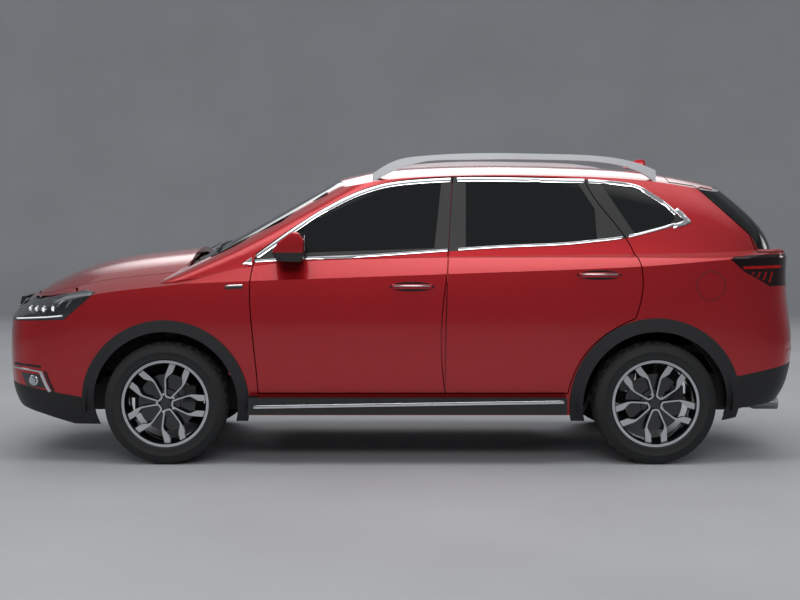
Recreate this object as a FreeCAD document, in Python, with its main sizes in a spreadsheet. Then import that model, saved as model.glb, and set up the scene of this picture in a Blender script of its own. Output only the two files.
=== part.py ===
"""A five-door crossover with a two-box body: sheet panels, doors, glass, lamps, seats,
running gear and underside, each a separate solid. The nose points to -X, +Y is the
right-hand side and +Z is up. The origin is on the ground under the middle of the car."""
import FreeCAD
import Part
import Sketcher
import os

from FreeCAD import Rotation, Vector

# Driving dimensions, in millimetres. Each has one row in the sheet.
SIZES = [
    ("wheelbase", 2700.0, "axle to axle"),
    ("front_overhang", 945.0, "front axle to the nose"),
    ("rear_overhang", 865.0, "rear axle to the bumper's back"),
    ("body_width", 1824.0, "across the doors"),
    ("roof_height", 1672.0, "ground to the top of the roof skin"),
    ("tyre_radius", 338.0, "loaded outside radius"),
    ("tyre_width", 235.0, "section width"),
    ("rim_radius", 240.0, "outer lip of the alloy rim"),
    ("rim_width", 205.0, "across the two lips"),
    ("track", 1570.0, "between the wheel centre planes"),
    ("hub_radius", 75.0, "hub face of the rim"),
    ("hub_face", 82.0, "hub face outboard of the wheel's centre plane"),
    ("spoke_depth", 32.0, "thickness of a spoke"),
    ("cap_radius", 28.0, "centre cap"),
    ("cap_drop", 3.0, "centre cap's face behind the spokes' face"),
    ("hub_overlap", 4.0, "how far the spokes sink into the hub"),
    ("disc_radius", 158.0, "brake disc"),
    ("disc_thickness", 26.0, "brake disc"),
    ("disc_offset", 5.0, "disc's inner face outboard of the wheel's centre plane"),
    ("running_gap", 5.5, "between the disc and what straddles it"),
    ("stub_radius", 22.0, "stub axle inside the hub"),
    ("bearing_fit", 0.5, "between the stub axle and the hub"),
    ("kingpin_offset", 146.0, "wheel centre plane to the steering axis"),
    ("knuckle_depth", 56.0, "upright, along the car"),
    ("caliper_reach", 160.0, "hub centre to the caliper's back"),
    ("caliper_length", 68.0, "caliper, along the car"),
    ("caliper_height", 92.0, "caliper, up from the hub's level"),
    ("upright_top", 544.0, "ground to the top of the front upright"),
    ("carrier_radius", 52.0, "hub carrier"),
    ("strut_radius", 21.0, "damper body"),
    ("spring_radius", 58.0, "coil outside radius"),
    ("tower_clearance", 20.0, "spring to the strut tower"),
    ("strut_top", 866.0, "ground to the top of the strut"),
    ("arch_radius", 398.0, "wheel opening in the sheet metal"),
    ("arch_band", 64.0, "width of the moulding round the front opening"),
    ("arch_band_rear", 74.0, "width of the moulding round the rear opening"),
    ("arch_proud", 9.0, "how far that moulding stands out of the panel"),
    ("wheelhouse_radius", 442.0, "inside of the wheelhouse"),
    ("liner_depth", 12.0, "wheelhouse wall"),
    ("tyre_clearance", 26.0, "beside the tyre, inside the wheelhouse"),
    ("shut_gap", 6.0, "gap between the moving panels"),
    ("door_depth", 104.0, "outside skin to inside trim, below the belt"),
    ("frame_depth", 46.0, "window frames and pillars, above the belt"),
    ("pillar_depth", 50.0, "centre pillar inboard of the doors"),
    ("skin_depth", 14.0, "wings and bumpers, skin with its flange"),
    ("lid_depth", 30.0, "bonnet, skin with its frame"),
    ("hinge_place", 145.0, "front axle to the bonnet's hinge pins"),
    ("hinge_height", 1100.0, "ground to the bonnet's hinge pins"),
    ("hinge_centre", 420.0, "centre line to the middle of a bonnet hinge"),
    ("hinge_arm", 16.0, "bonnet hinge arm, thickness and height"),
    ("hinge_lug", 6.0, "thickness of a fixed hinge lug"),
    ("hinge_pin", 5.0, "radius of the hinge pin"),
    ("cowl_drop", 90.0, "scuttle panel below the bonnet line"),
    ("screen_start", 55.0, "bonnet's rear edge to the windscreen's lower edge"),
    ("roof_depth", 34.0, "roof skin with its lining"),
    ("glass_depth", 5.0, "window glass"),
    ("glass_sunk", 4.0, "how far glass lies below the panel face"),
    ("lamp_depth", 90.0, "lamp housings"),
    ("grille_sunk", 12.0, "grille bars behind the bumper face"),
    ("grille_depth", 22.0, "grille bars, along the car"),
    ("grille_bar", 8.0, "grille bars, height"),
    ("grille_pitch", 25.0, "from one grille bar to the next"),
    ("grille_frame", 14.0, "frame round the grille"),
    ("fit", 0.3, "between pieces that seat on each other"),
    ("floor_height", 250.0, "underside of the floor pan"),
    ("floor_depth", 40.0, "floor pan with its ribs"),
    ("load_floor", 640.0, "ground to the load floor"),
    ("tunnel_width", 180.0, "centre tunnel, inside"),
    ("tunnel_height", 100.0, "centre tunnel above the floor's underside"),
    ("sill_height", 268.0, "underside of the sills"),
    ("step_height", 284.0, "underside of the side steps"),
    ("step_depth", 88.0, "side step, from top to bottom"),
    ("step_width", 24.0, "side step beyond the doors"),
    ("rail_width", 30.0, "roof rail, across"),
    ("rail_centre", 612.0, "centre line to the middle of a roof rail"),
    ("wall", 25.0, "bulkhead"),
    ("mirror_reach", 1004.0, "centre line to the mirror's outer end"),
    ("mirror_width", 190.0, "mirror head, across the car"),
    ("mirror_round", 22.0, "mirror head, rounding of its edges"),
    ("wheel_rim", 185.0, "steering wheel radius"),
    ("wheel_grip", 15.0, "steering wheel section"),
    ("wheel_height", 940.0, "ground to the steering wheel's centre"),
    ("wheel_place", 880.0, "front axle to the steering wheel's centre"),
    ("wheel_pad", 58.0, "steering wheel's middle pad"),
    ("wheel_pad_depth", 36.0, "steering wheel's middle pad, along the column"),
    ("column_radius", 30.0, "steering column shroud"),
    ("column_length", 220.0, "steering column shroud"),
    ("engine_length", 440.0, "engine and gearbox, along the car"),
    ("engine_width", 600.0, "engine and gearbox, across"),
    ("engine_height", 500.0, "engine and gearbox"),
    ("engine_base", 300.0, "ground to the engine's underside"),
    ("shaft_radius", 16.0, "drive shaft"),
    ("subframe_bar", 60.0, "subframe member, width"),
    ("subframe_depth", 50.0, "subframe member, height"),
    ("subframe_length", 500.0, "front subframe, along the car"),
    ("subframe_width", 840.0, "front subframe, across"),
    ("subframe_base", 225.0, "ground to the subframe's underside"),
    ("arm_depth", 24.0, "suspension arm, height"),
    ("arm_width", 60.0, "suspension arm, along the car"),
    ("arm_base", 208.0, "ground to the suspension arms' underside"),
    ("rack_height", 292.0, "ground to the steering rack's centre"),
    ("rack_reach", 465.0, "centre line to the rack's end"),
    ("rear_arm_inner", 560.0, "centre line to the inner side of a trailing arm"),
    ("rear_arm_length", 300.0, "trailing arm ahead of the axle"),
    ("beam_start", 200.0, "rear axle to the front face of the cross beam"),
    ("shaft_end", 585.0, "centre line to the drive shaft's outer end"),
    ("tip_centre", 260.0, "centre line to a tailpipe"),
    ("tip_end", 60.0, "tailpipe's end ahead of the bumper's back"),
    ("silencer_end", 220.0, "silencer's back ahead of the bumper's back"),
    ("silencer_base", 244.0, "ground to the silencer's underside"),
    ("hanger", 24.0, "exhaust hanger, both ways"),
    ("pipe_radius", 26.0, "exhaust pipe"),
    ("pipe_height", 264.0, "ground to the pipe's centre"),
    ("silencer_width", 640.0, "rear silencer, across"),
    ("silencer_length", 250.0, "rear silencer, along"),
    ("silencer_height", 150.0, "rear silencer, top to bottom"),
    ("seat_width", 500.0, "front seat"),
    ("seat_centre", 370.0, "centre line to the middle of a front seat"),
    ("bench_width", 1240.0, "rear seat"),
    ("seat_round", 40.0, "rounding of a seat's edges"),
]

doc = FreeCAD.newDocument("crossover")
sheet = doc.addObject("Spreadsheet::Sheet", "Sheet")
for number, (alias, value, meaning) in enumerate(SIZES, start=1):
    sheet.set(f"A{number}", meaning)
    sheet.set(f"B{number}", str(value))
    sheet.setAlias(f"B{number}", alias)
doc.recompute()


def size(alias):
    """The value of one cell of the sheet."""
    return float(sheet.get(alias))


WHEELBASE = size("wheelbase")
FRONT_OVERHANG = size("front_overhang")
REAR_OVERHANG = size("rear_overhang")
HALF_WIDTH = size("body_width") / 2
ROOF = size("roof_height")
LENGTH = FRONT_OVERHANG + WHEELBASE + REAR_OVERHANG
FRONT_AXLE = FRONT_OVERHANG - LENGTH / 2
REAR_AXLE = FRONT_AXLE + WHEELBASE
HUB = size("tyre_radius")
HALF_TRACK = size("track") / 2
KINGPIN = HALF_TRACK - size("kingpin_offset")
GAP = size("shut_gap")
FIT = size("fit")
SKIN = size("skin_depth")
LINER = size("liner_depth")
WELL = size("wheelhouse_radius")
FAR = LENGTH  # how far a cutter runs past what it cuts
ACROSS = Vector(0, 1, 0)
# The two axles as formulas, for properties that follow the sheet.
FRONT = "({front_overhang} - {wheelbase} - {rear_overhang}) / 2"
REAR = "({front_overhang} + {wheelbase} - {rear_overhang}) / 2"

nodes = {}


def keep(name, thing):
    """Marks an object of the document as one finished piece."""
    thing.Label = name
    nodes[name] = thing
    return thing


def feature(name, shape):
    """A finished piece whose shape is worked out below."""
    thing = doc.addObject("Part::Feature", name)
    solids = shape.Solids
    thing.Shape = Part.makeCompound(solids) if len(solids) > 1 else solids[0]
    return keep(name, thing)


def follow(thing, **rules):
    """Binds properties to formulas in which {word} is a cell of the sheet."""
    for rule, formula in rules.items():
        text = formula.replace("{", "Sheet.").replace("}", "")
        thing.setExpression(rule.replace("_at_", "."), text)
    return thing


def bound(kind, name, x="0", y="0", z="0", turn=None, **rules):
    """A primitive whose sizes and place follow the sheet."""
    thing = doc.addObject(kind, name)
    if turn:
        thing.Placement.Rotation = turn
    places = {"Placement_at_Base_at_x": x, "Placement_at_Base_at_y": y, "Placement_at_Base_at_z": z}
    return follow(thing, **places, **rules)


def joined(name, *things):
    whole = doc.addObject("Part::MultiFuse", name)
    whole.Shapes = list(things)
    return whole


def without(name, base, tool):
    cut = doc.addObject("Part::Cut", name)
    cut.Base = base
    cut.Tool = tool
    return cut


def reflected(name, source):
    """The right-hand copy of a left-hand piece."""
    other = doc.addObject("Part::Mirroring", name)
    other.Source = source
    other.Normal = ACROSS
    return other


def station(share):
    """X of a place along the car: -1 nose, 0 front axle, 1 rear axle, 2 tail."""
    if share < 0:
        return FRONT_AXLE + share * FRONT_OVERHANG
    if share > 1:
        return REAR_AXLE + (share - 1) * REAR_OVERHANG
    return FRONT_AXLE + share * WHEELBASE


def level(share):
    """Z of a place as a share of the roof's height."""
    return share * ROOF


def knots(count, degree):
    inner = count - degree - 1
    return [float(i) for i in range(inner + 2)], [degree + 1] + [1] * inner + [degree + 1]


def surface(net, along_degree, across_degree):
    """A smooth face pulled towards a net of control points."""
    skin = Part.BSplineSurface()
    ku, mu = knots(len(net), along_degree)
    kv, mv = knots(len(net[0]), across_degree)
    skin.buildFromPolesMultsKnots(net, mu, mv, ku, kv, False, False, along_degree, across_degree)
    return skin.toShape()


def curve(points, degree=3):
    line = Part.BSplineCurve()
    k, m = knots(len(points), degree)
    line.buildFromPolesMultsKnots(points, m, k, False, degree)
    return line.toShape()


def closed(faces):
    """One solid from faces that meet along their edges."""
    shell = Part.makeShell(faces)
    shell.sewShape()
    body = Part.makeSolid(shell)
    if body.Volume < 0:
        body.reverse()
    return body


def wrapped(patches):
    """A solid whose flanks run from the nose round to the tail. Each patch is a list of
    rows from low to high, and a row is one half of the plan, for the right-hand side."""
    faces = []
    caps = [[], []]
    for side in (1, -1):
        for rows, degree in patches:
            turned = [[Vector(p.x, side * p.y, p.z) for p in row] for row in rows]
            faces.append(surface([list(column) for column in zip(*turned)], 3, degree))
        for cap, row in zip(caps, (patches[0][0][0], patches[-1][0][-1])):
            cap.append(curve([Vector(p.x, side * p.y, p.z) for p in row]))
    for cap in caps:
        faces.append(Part.Face(Part.Wire(Part.__sortEdges__(cap))))
    return closed(faces)


# Lower body: plan shape of one half, the same at every height.
# (stations from the end of the car, share of the half width)
NOSE_SHARES = [(0.0, 0.0), (0.0, 0.42), (0.03, 0.80), (0.20, 0.955), (0.50, 0.985)]
FLANK_SHARES = [(0.0, 0.995), (0.25, 1.0), (0.5, 1.0), (0.75, 1.0), (1.0, 0.995)]
TAIL_SHARES = [(0.50, 0.975), (0.20, 0.94), (0.04, 0.80), (0.0, 0.42), (0.0, 0.0)]
# rows: (nose station, tail station, half width share, front height, rear height)
LOWER_ROW_SHARES = [
    (-0.86, 1.72, 0.86, 0.115, 0.115),
    (-0.985, 1.90, 0.955, 0.18, 0.18),
    (-1.005, 1.985, 0.995, 0.30, 0.30),
    (-1.00, 1.985, 1.005, 0.44, 0.44),
    (-0.985, 1.93, 1.00, 0.53, 0.58),
    (-0.95, 1.945, 0.99, 0.574, 0.682),
]
SHOULDER_ROW_SHARES = [
    LOWER_ROW_SHARES[-1],
    (-0.93, 1.92, 0.94, 0.62, 0.728),
    (-0.86, 1.83, 0.80, 0.79, 0.79),
]
CREASE_START_SHARE = -0.4  # station where the crease starts to climb
CREASE_END_SHARE = 1.5
# Greenhouse rows: (windscreen station, backlight station, half width share, height)
GLASS_ROW_SHARES = [
    (-0.108, 1.84, 0.966, 0.60),
    (0.073, 1.88, 0.905, 0.70),
    (0.184, 1.798, 0.836, 0.80),
    (0.294, 1.553, 0.764, 0.90),
    (0.437, 1.236, 0.66, 1.03),
]
GLASS_HEAD_SHARES = [(0.0, 0.0), (0.0, 0.45), (0.02, 0.80), (0.058, 0.985), (0.13, 0.998)]
GLASS_REAR_SHARES = [(0.36, 0.97), (0.13, 0.93), (0.03, 0.76), (0.0, 0.42), (0.0, 0.0)]
GLASS_FLANK_SHARES = (0.3, 0.6)


def body_row(row, inset):
    nose, tail, width, front, rear = row

    def height(share):
        climb = (share - CREASE_START_SHARE) / (CREASE_END_SHARE - CREASE_START_SHARE)
        return level(front + (rear - front) * min(max(climb, 0.0), 1.0))

    def across(share):
        return max(share * width * HALF_WIDTH - inset, 0.0) if share else 0.0

    points = []
    for back, share in NOSE_SHARES:
        points.append(Vector(station(nose + back) + inset, across(share), height(nose + back)))
    for place, share in FLANK_SHARES:
        points.append(Vector(station(place), across(share), height(place)))
    for ahead, share in TAIL_SHARES:
        points.append(Vector(station(tail - ahead) - inset, across(share), height(tail - ahead)))
    return points


def lower_body(inset=0.0):
    lower = [body_row(row, inset) for row in LOWER_ROW_SHARES]
    shoulder = [body_row(row, inset) for row in SHOULDER_ROW_SHARES]
    return wrapped([(lower, 3), (shoulder, 2)])


def glass_row(row, inset):
    front, back, width, height = row

    def across(share):
        return max(share * width * HALF_WIDTH - inset, 0.0) if share else 0.0

    first = front + GLASS_HEAD_SHARES[-1][0]
    last = back - GLASS_REAR_SHARES[0][0]
    points = [Vector(station(front + b) + inset, across(s), level(height)) for b, s in GLASS_HEAD_SHARES]
    for part in GLASS_FLANK_SHARES:
        points.append(Vector(station(first + part * (last - first)), across(1.0), level(height)))
    points += [Vector(station(back - a) - inset, across(s), level(height)) for a, s in GLASS_REAR_SHARES]
    return points


def greenhouse(inset=0.0):
    return wrapped([([glass_row(row, inset) for row in GLASS_ROW_SHARES], 3)])


# Roof and bonnet: centre line as (station, height share), dropping towards the sides.
ROOF_LINE_SHARES = [
    (-0.30, 0.80), (0.10, 0.88), (0.27, 0.925), (0.36, 0.957), (0.42, 0.982), (0.50, 0.995),
    (0.65, 1.003), (0.80, 1.0), (0.95, 0.990), (1.15, 0.972), (1.50, 0.935), (1.85, 0.885),
]
BONNET_LINE_SHARES = [
    (-1.20, 0.30), (-1.03, 0.44), (-0.97, 0.535), (-0.90, 0.565), (-0.75, 0.615), (-0.55, 0.658),
    (-0.32, 0.686), (-0.02, 0.703), (0.06, 0.715), (0.14, 0.76), (0.4, 0.79), (2.3, 0.79),
]
ROOF_DROP_SHARES = [(0.0, 0.0), (0.30, 0.004), (0.62, 0.022), (0.95, 0.085)]
BONNET_DROP_SHARES = [(0.0, 0.0), (0.35, 0.012), (0.70, 0.045), (1.05, 0.13)]


def under(line, drops, lowered=0.0):
    """Everything under a crowned sheet that runs the length of the car."""
    net = []
    for place, height in line:
        half = [(y, level(height - drop) - lowered) for y, drop in drops]
        row = [Vector(station(place), -y * HALF_WIDTH, z) for y, z in reversed(half[1:])]
        row += [Vector(station(place), y * HALF_WIDTH, z) for y, z in half]
        net.append(row)
    return surface(net, 3, 3).extrude(Vector(0, 0, -2 * ROOF))


def under_roof(lowered=0.0):
    return under(ROOF_LINE_SHARES, ROOF_DROP_SHARES, lowered)


def under_bonnet(lowered=0.0):
    return under(BONNET_LINE_SHARES, BONNET_DROP_SHARES, lowered)


def body_volume(inset, glass_inset, roof_lowered, lid_lowered):
    """The whole body as one closed lump, set in by these amounts."""
    lump = lower_body(inset).common(under_bonnet(lid_lowered))
    return lump.fuse(greenhouse(glass_inset).common(under_roof(roof_lowered))).removeSplitter()


def block(x0, x1, y0, y1, z0, z1):
    """A box from its corners."""
    return Part.makeBox(x1 - x0, y1 - y0, z1 - z0, Vector(x0, y0, z0))


def bar(x, radius, y0, y1):
    """A round bar across the car at hub height, between two values of y."""
    return Part.makeCylinder(radius, y1 - y0, Vector(x, y0, HUB), ACROSS)


def mirrored(shape):
    return shape.mirror(Vector(0, 0, 0), ACROSS)


def outline(points, grow=0.0):
    """A flat face inside these points, moved outwards by a distance."""
    flat = Part.Face(Part.makePolygon(points + points[:1]))
    return flat.makeOffset2D(grow, 2) if grow else flat


def profile(shares, y0, y1, grow=0.0):
    """A side-view outline of (station, height share), drawn out from y0 to y1."""
    points = [Vector(station(s), y0, level(h)) for s, h in shares]
    return outline(points, grow).extrude(Vector(0, y1 - y0, 0))


def plan(shares, grow=0.0):
    """A column over the mirrored plan outline of (station, half width share)."""
    right = [Vector(station(s), w * HALF_WIDTH, 0) for s, w in shares]
    left = [Vector(p.x, -p.y, 0) for p in reversed(right) if p.y]
    return outline(right + left, grow).extrude(Vector(0, 0, 2 * ROOF))


def elevation(shares, x0, x1, grow=0.0):
    """A mirrored outline seen from the front, (half width share, height share)."""
    right = [Vector(x0, w * HALF_WIDTH, level(h)) for w, h in shares]
    left = [Vector(x0, -p.y, p.z) for p in reversed(right) if p.y]
    return outline(right + left, grow).extrude(Vector(x1 - x0, 0, 0))


def left_section(shares, x0, x1):
    """A left-hand outline seen from the front, (half width share, height share)."""
    points = [Vector(x0, -w * HALF_WIDTH, level(h)) for w, h in shares]
    return outline(points).extrude(Vector(x1 - x0, 0, 0))


# The side surface in short: heights of belt and cantrail, half widths below, at and above.
SIDE_LEVEL_SHARES = (0.69, 0.945)
SIDE_WIDTH_SHARES = (0.985, 0.905, 0.724)
CUTTER_SHARES = (1.25, 0.45)  # where a side cutter starts and ends
MITRE_SHARE = 0.4  # least share of a corner's mitre


def flank_y(z):
    """About how far out the side surface lies at height z."""
    belt, cant = [level(share) for share in SIDE_LEVEL_SHARES]
    low, waist, high = SIDE_WIDTH_SHARES
    if z <= belt:
        return low * HALF_WIDTH
    return HALF_WIDTH * (waist - (waist - high) * (z - belt) / (cant - belt))


def spread(points, distance):
    """Moves each point of a closed outline outwards by a distance."""
    count = len(points)
    area = sum(points[i][0] * points[(i + 1) % count][1] - points[(i + 1) % count][0] * points[i][1]
               for i in range(count))
    turn = 1.0 if area > 0 else -1.0
    grown = []
    for i, (x, z, slant) in enumerate(points):
        x0, z0, _ = points[i - 1]
        x1, z1, _ = points[(i + 1) % count]
        before = Vector(z - z0, x0 - x, 0).normalize() * turn
        after = Vector(z1 - z, x - x1, 0).normalize() * turn
        mitre = (before + after).normalize()
        reach = distance / max(mitre.dot(before), MITRE_SHARE)
        grown.append((x + mitre.x * reach, z + mitre.y * reach, slant))
    return grown


def side_prism(runs, distance=0.0):
    """A left-hand cutter through the body side from an outline seen from the side.
    runs: lists of (station, height share, slant); a run of two points is straight and a
    longer one is a smooth curve. The slant says how fast the edge moves back as it goes out."""
    flat = [(station(s), level(h), k) for run in runs for s, h, k in run[:-1]]
    if distance:
        flat = spread(flat, distance)
    wires = []
    for y in [share * HALF_WIDTH for share in CUTTER_SHARES]:
        points = [Vector(x + k * (y - flank_y(z)), -y, z) for x, z, k in flat]
        edges = []
        start = 0
        for run in runs:
            here = [points[(start + i) % len(points)] for i in range(len(run))]
            start += len(run) - 1
            if len(here) == 2:
                edges.append(Part.makeLine(*here))
            else:
                line = Part.BSplineCurve()
                line.interpolate(here)
                edges.append(line.toShape())
        wires.append(Part.Wire(edges))
    return Part.makeLoft(wires, True, True)


# Door outlines seen from the side: (station, height share, slant).
A_LINE_SHARES = [(0.1856, 0.695, 0.0), (0.275, 0.797, 0.0), (0.354, 0.873, 0.05),
                 (0.417, 0.916, 0.1), (0.479, 0.937, 0.15), (0.588, 0.9505, 0.32)]
B_LINE_SHARES = [(0.588, 0.9505, 0.32), (0.580, 0.773, 0.24), (0.576, 0.651, 0.13), (0.571, 0.236, 0.13)]
DOOR_FRONT_SHARES = [(0.190, 0.236, 0.0), (0.187, 0.30, 0.0), (0.1785, 0.446, 0.0),
                     (0.175, 0.61, 0.0), (0.1856, 0.695, 0.0)]
FRONT_DOOR_SHARES = [A_LINE_SHARES, B_LINE_SHARES, [B_LINE_SHARES[-1], DOOR_FRONT_SHARES[0]],
                     DOOR_FRONT_SHARES]
B_REAR_SHARES = [(s, h, 0.0) for s, h, _ in reversed(B_LINE_SHARES)]
C_LINE_SHARES = [(0.862, 0.943, 0.42), (0.940, 0.746, 0.34), (0.9665, 0.675, 0.18), (0.971, 0.60, 0.16),
                 (0.965, 0.532, 0.16), (0.9556, 0.484, 0.2)]
ARCH_EDGE_SHARES = [(0.9556, 0.484, 0.2), (0.9037, 0.441, 0.2), (0.8556, 0.371, 0.2),
                    (0.828, 0.281, 0.2), (0.822, 0.236, 0.2)]
REAR_DOOR_SHARES = [B_REAR_SHARES, [B_REAR_SHARES[-1], (0.70, 0.951, 0.15), C_LINE_SHARES[0]],
                    C_LINE_SHARES, ARCH_EDGE_SHARES, [ARCH_EDGE_SHARES[-1], B_REAR_SHARES[0]]]
FRONT_WINDOW_SHARES = [
    [(0.228, 0.695, 0), (0.275, 0.777, 0), (0.354, 0.853, 0), (0.417, 0.896, 0), (0.479, 0.917, 0),
     (0.564, 0.928, 0)],
    [(0.564, 0.928, 0), (0.549, 0.713, 0)],
    [(0.549, 0.713, 0), (0.228, 0.695, 0)],
]
REAR_WINDOW_SHARES = [
    [(0.613, 0.7155, 0), (0.615, 0.930, 0)],
    [(0.615, 0.930, 0), (0.72, 0.931, 0), (0.848, 0.925, 0)],
    [(0.848, 0.925, 0), (0.880, 0.842, 0)],
    [(0.880, 0.842, 0), (0.882, 0.737, 0)],
    [(0.882, 0.737, 0), (0.613, 0.7155, 0)],
]
QUARTER_WINDOW_SHARES = [
    [(0.895, 0.928, 0), (0.965, 0.916, 0), (1.05, 0.873, 0), (1.14, 0.810, 0)],
    [(1.14, 0.810, 0), (1.085, 0.782, 0)],
    [(1.085, 0.782, 0), (0.962, 0.756, 0)],
    [(0.962, 0.756, 0), (0.895, 0.928, 0)],
]
# Where one panel ends and the next begins.
SIDE_ZONE_SHARES = [(1.4, 0.0), (0.77, 0.0), (0.77, 0.80), (0.65, 0.87), (0.65, 1.2), (1.4, 1.2)]
FRAME_START_SHARES = [(-0.1, 0.645), (0.13, 0.645), (0.13, 0.10), (0.845, 0.10), (0.845, 1.2), (-0.1, 1.2)]
WINDSCREEN_SHARES = [(0.02, 0.0), (0.02, 0.62), (0.10, 0.825), (0.215, 0.715), (0.33, 0.655),
                     (0.362, 0.62), (0.350, 0.40), (0.343, 0.0)]
ROOF_PLAN_SHARES = [(0.28, 0.0), (0.28, 0.65), (1.16, 0.65), (1.16, 0.0)]
BONNET_PLAN_SHARES = [(-0.885, 0.0), (-0.87, 0.35), (-0.80, 0.60), (-0.70, 0.735), (-0.50, 0.785),
                      (-0.20, 0.80), (0.030, 0.80), (0.042, 0.60), (0.042, 0.0)]
WING_SHARES = [(0.19, 0.163), (0.19, 0.69), (-0.7, 0.69), (-0.7, 0.58), (-0.53, 0.58),
               (-0.457, 0.52), (-0.311, 0.4455), (-0.25, 0.20), (-0.25, 0.163)]
BUMPER_SHARES = [(-0.15, 0.0), (-0.25, 0.20), (-0.311, 0.4455), (-0.457, 0.52), (-0.55, 0.58),
                 (-1.2, 0.58), (-1.2, 0.198), (-0.985, 0.198), (-0.75, 0.163), (-0.55, 0.127),
                 (-0.30, 0.127)]
HEADLAMP_SHARES = [(-1.2, 0.4665), (-0.583, 0.479), (-0.522, 0.509), (-0.399, 0.569), (-0.47, 0.576),
                   (-0.565, 0.565), (-0.80, 0.548), (-1.2, 0.545)]
HEADLAMP_INNER_SHARE = 0.50  # of the half width, where the lamp meets the grille
GRILLE_SHARES = [(0.0, 0.385), (0.36, 0.385), (0.49, 0.470), (0.49, 0.543), (0.0, 0.546)]
INTAKE_SHARES = [(0.0, 0.225), (0.52, 0.225), (0.60, 0.30), (0.52, 0.345), (0.0, 0.345)]
TAIL_ZONE_SHARES = [(1.128, 1.2), (1.128, 0.933), (1.29, 0.921), (1.625, 0.757), (1.66, 0.700),
                    (2.4, 0.700), (2.4, 1.2)]
TAIL_LOW_SHARES = [(0.0, 0.484), (0.69, 0.484), (0.70, 0.715), (0.0, 0.715)]
REAR_BUMPER_SHARES = [(1.15, 0.05), (1.15, 0.30), (1.29, 0.470), (1.42, 0.480), (1.53, 0.4945),
                      (1.63, 0.517), (1.685, 0.544), (1.713, 0.582), (2.3, 0.582), (2.3, 0.245),
                      (1.918, 0.245), (1.83, 0.20), (1.57, 0.184), (1.40, 0.15)]
TAIL_LAMP_SHARES = [(1.468, 0.678), (1.494, 0.686), (1.60, 0.690), (1.75, 0.694), (2.3, 0.697),
                    (2.3, 0.589), (1.725, 0.588), (1.66, 0.608), (1.56, 0.635)]
TAIL_LAMP_INNER_SHARE = 0.30
REAR_GLASS_SHARES = [(1.30, 0.912), (1.635, 0.752), (1.672, 0.709), (2.3, 0.709), (2.3, 0.905),
                     (1.42, 0.930)]
REAR_OPENING_SHARES = [(0.0, 0.735), (0.66, 0.735), (0.60, 0.885), (0.0, 0.895)]
SPOILER_SHARES = [(1.135, 0.90), (1.30, 0.925), (1.405, 0.9045), (1.482, 0.934), (1.47, 1.1), (1.135, 1.1)]
SPOILER_WIDTH_SHARE = 0.62
SILL_START_SHARE = 0.18
QUARTER_START_SHARE = 0.845
CORNER_SHARES = (0.5, 0.40)  # half width and height where the tail's corner starts
TAIL_START_SHARES = (1.2, 1.6)  # stations from which the tail's openings run back
NOSE_CUT_SHARE = -0.6
ROOF_START_SHARE = 0.80
COWL_SHARES = (0.042, 0.79, 0.5, 0.70)  # scuttle: station, half width, lowest and highest level
COOLER_SHARES = (-0.80, 0.47)  # station and top of the cooler
MOULDING_START_SHARE = 0.14
STEP_SHARES = (0.1615, 0.8175)
PILLAR_SHARES = (0.553, 0.603)
FIREWALL_SHARE = 0.115
FLOOR_SHARES = (0.865, 0.915, 1.80)  # stations: kick-up's foot, its top, the load floor's end
REAR_WALL_SHARE = 0.475

FLOOR_TOP = size("floor_height") + size("floor_depth")
FIREWALL = station(FIREWALL_SHARE)
LIP = HALF_WIDTH - 2 * SKIN  # the sheet metal outboard of this follows the arch
REAR_WALL = HALF_TRACK - size("tyre_width") / 2 - size("tyre_clearance")
FRONT_WALL = KINGPIN - HUB / 2 - size("tyre_clearance")
left_half = block(-FAR, FAR, -FAR, 0, -FAR, FAR)
outer = body_volume(0.0, 0.0, 0.0, 0.0).common(left_half)
cabin = body_volume(size("door_depth"), size("frame_depth"), size("roof_depth"), size("roof_depth"))
cabin = cabin.common(left_half)
skin_lump = body_volume(SKIN, SKIN, SKIN, size("lid_depth")).common(left_half)
backing = body_volume(SKIN + FIT, SKIN + FIT, SKIN + FIT, size("lid_depth") + FIT).common(left_half)
lamp_lump = lower_body(size("lamp_depth")).common(left_half)
glass_shell = greenhouse(size("glass_sunk")).common(under_roof(size("glass_sunk"))).common(left_half)
glass_back = size("glass_sunk") + size("glass_depth")
glass_shell = glass_shell.cut(greenhouse(glass_back).common(under_roof(glass_back)))
shell = outer.cut(cabin)
skin = outer.cut(skin_lump)
deep_skin = outer.cut(backing)

front_door = side_prism(FRONT_DOOR_SHARES, GAP / 2)
rear_door = side_prism(REAR_DOOR_SHARES, GAP / 2)
windscreen_hole = plan(WINDSCREEN_SHARES).common(greenhouse(-FIT))
side_zone = left_section(SIDE_ZONE_SHARES, -FAR, FAR)
tail_zone = profile(TAIL_ZONE_SHARES, -FAR, 0, GAP / 2)
tail_low = elevation(TAIL_LOW_SHARES, station(TAIL_START_SHARES[1]), FAR, GAP / 2)
tail_low = tail_low.common(left_half)
lamp_side = profile(HEADLAMP_SHARES, -FAR, -HEADLAMP_INNER_SHARE * HALF_WIDTH)
lamp_rear = profile(TAIL_LAMP_SHARES, -FAR, -TAIL_LAMP_INNER_SHARE * HALF_WIDTH)
grille_hole = elevation(GRILLE_SHARES, -FAR, station(NOSE_CUT_SHARE))
intake_hole = elevation(INTAKE_SHARES, -FAR, station(NOSE_CUT_SHARE))
bonnet_space = plan(BONNET_PLAN_SHARES, GAP / 2).cut(under_bonnet(size("lid_depth") + GAP))
front_arch = bar(FRONT_AXLE, size("arch_radius"), -FAR, 0)
rear_arch = bar(REAR_AXLE, size("arch_radius"), -FAR, 0)


def wheelhouse(axle, wall, extra=0.0):
    """The space that the wheel needs behind the arch's lip."""
    return bar(axle, WELL + extra, -LIP, -wall + extra)


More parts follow.
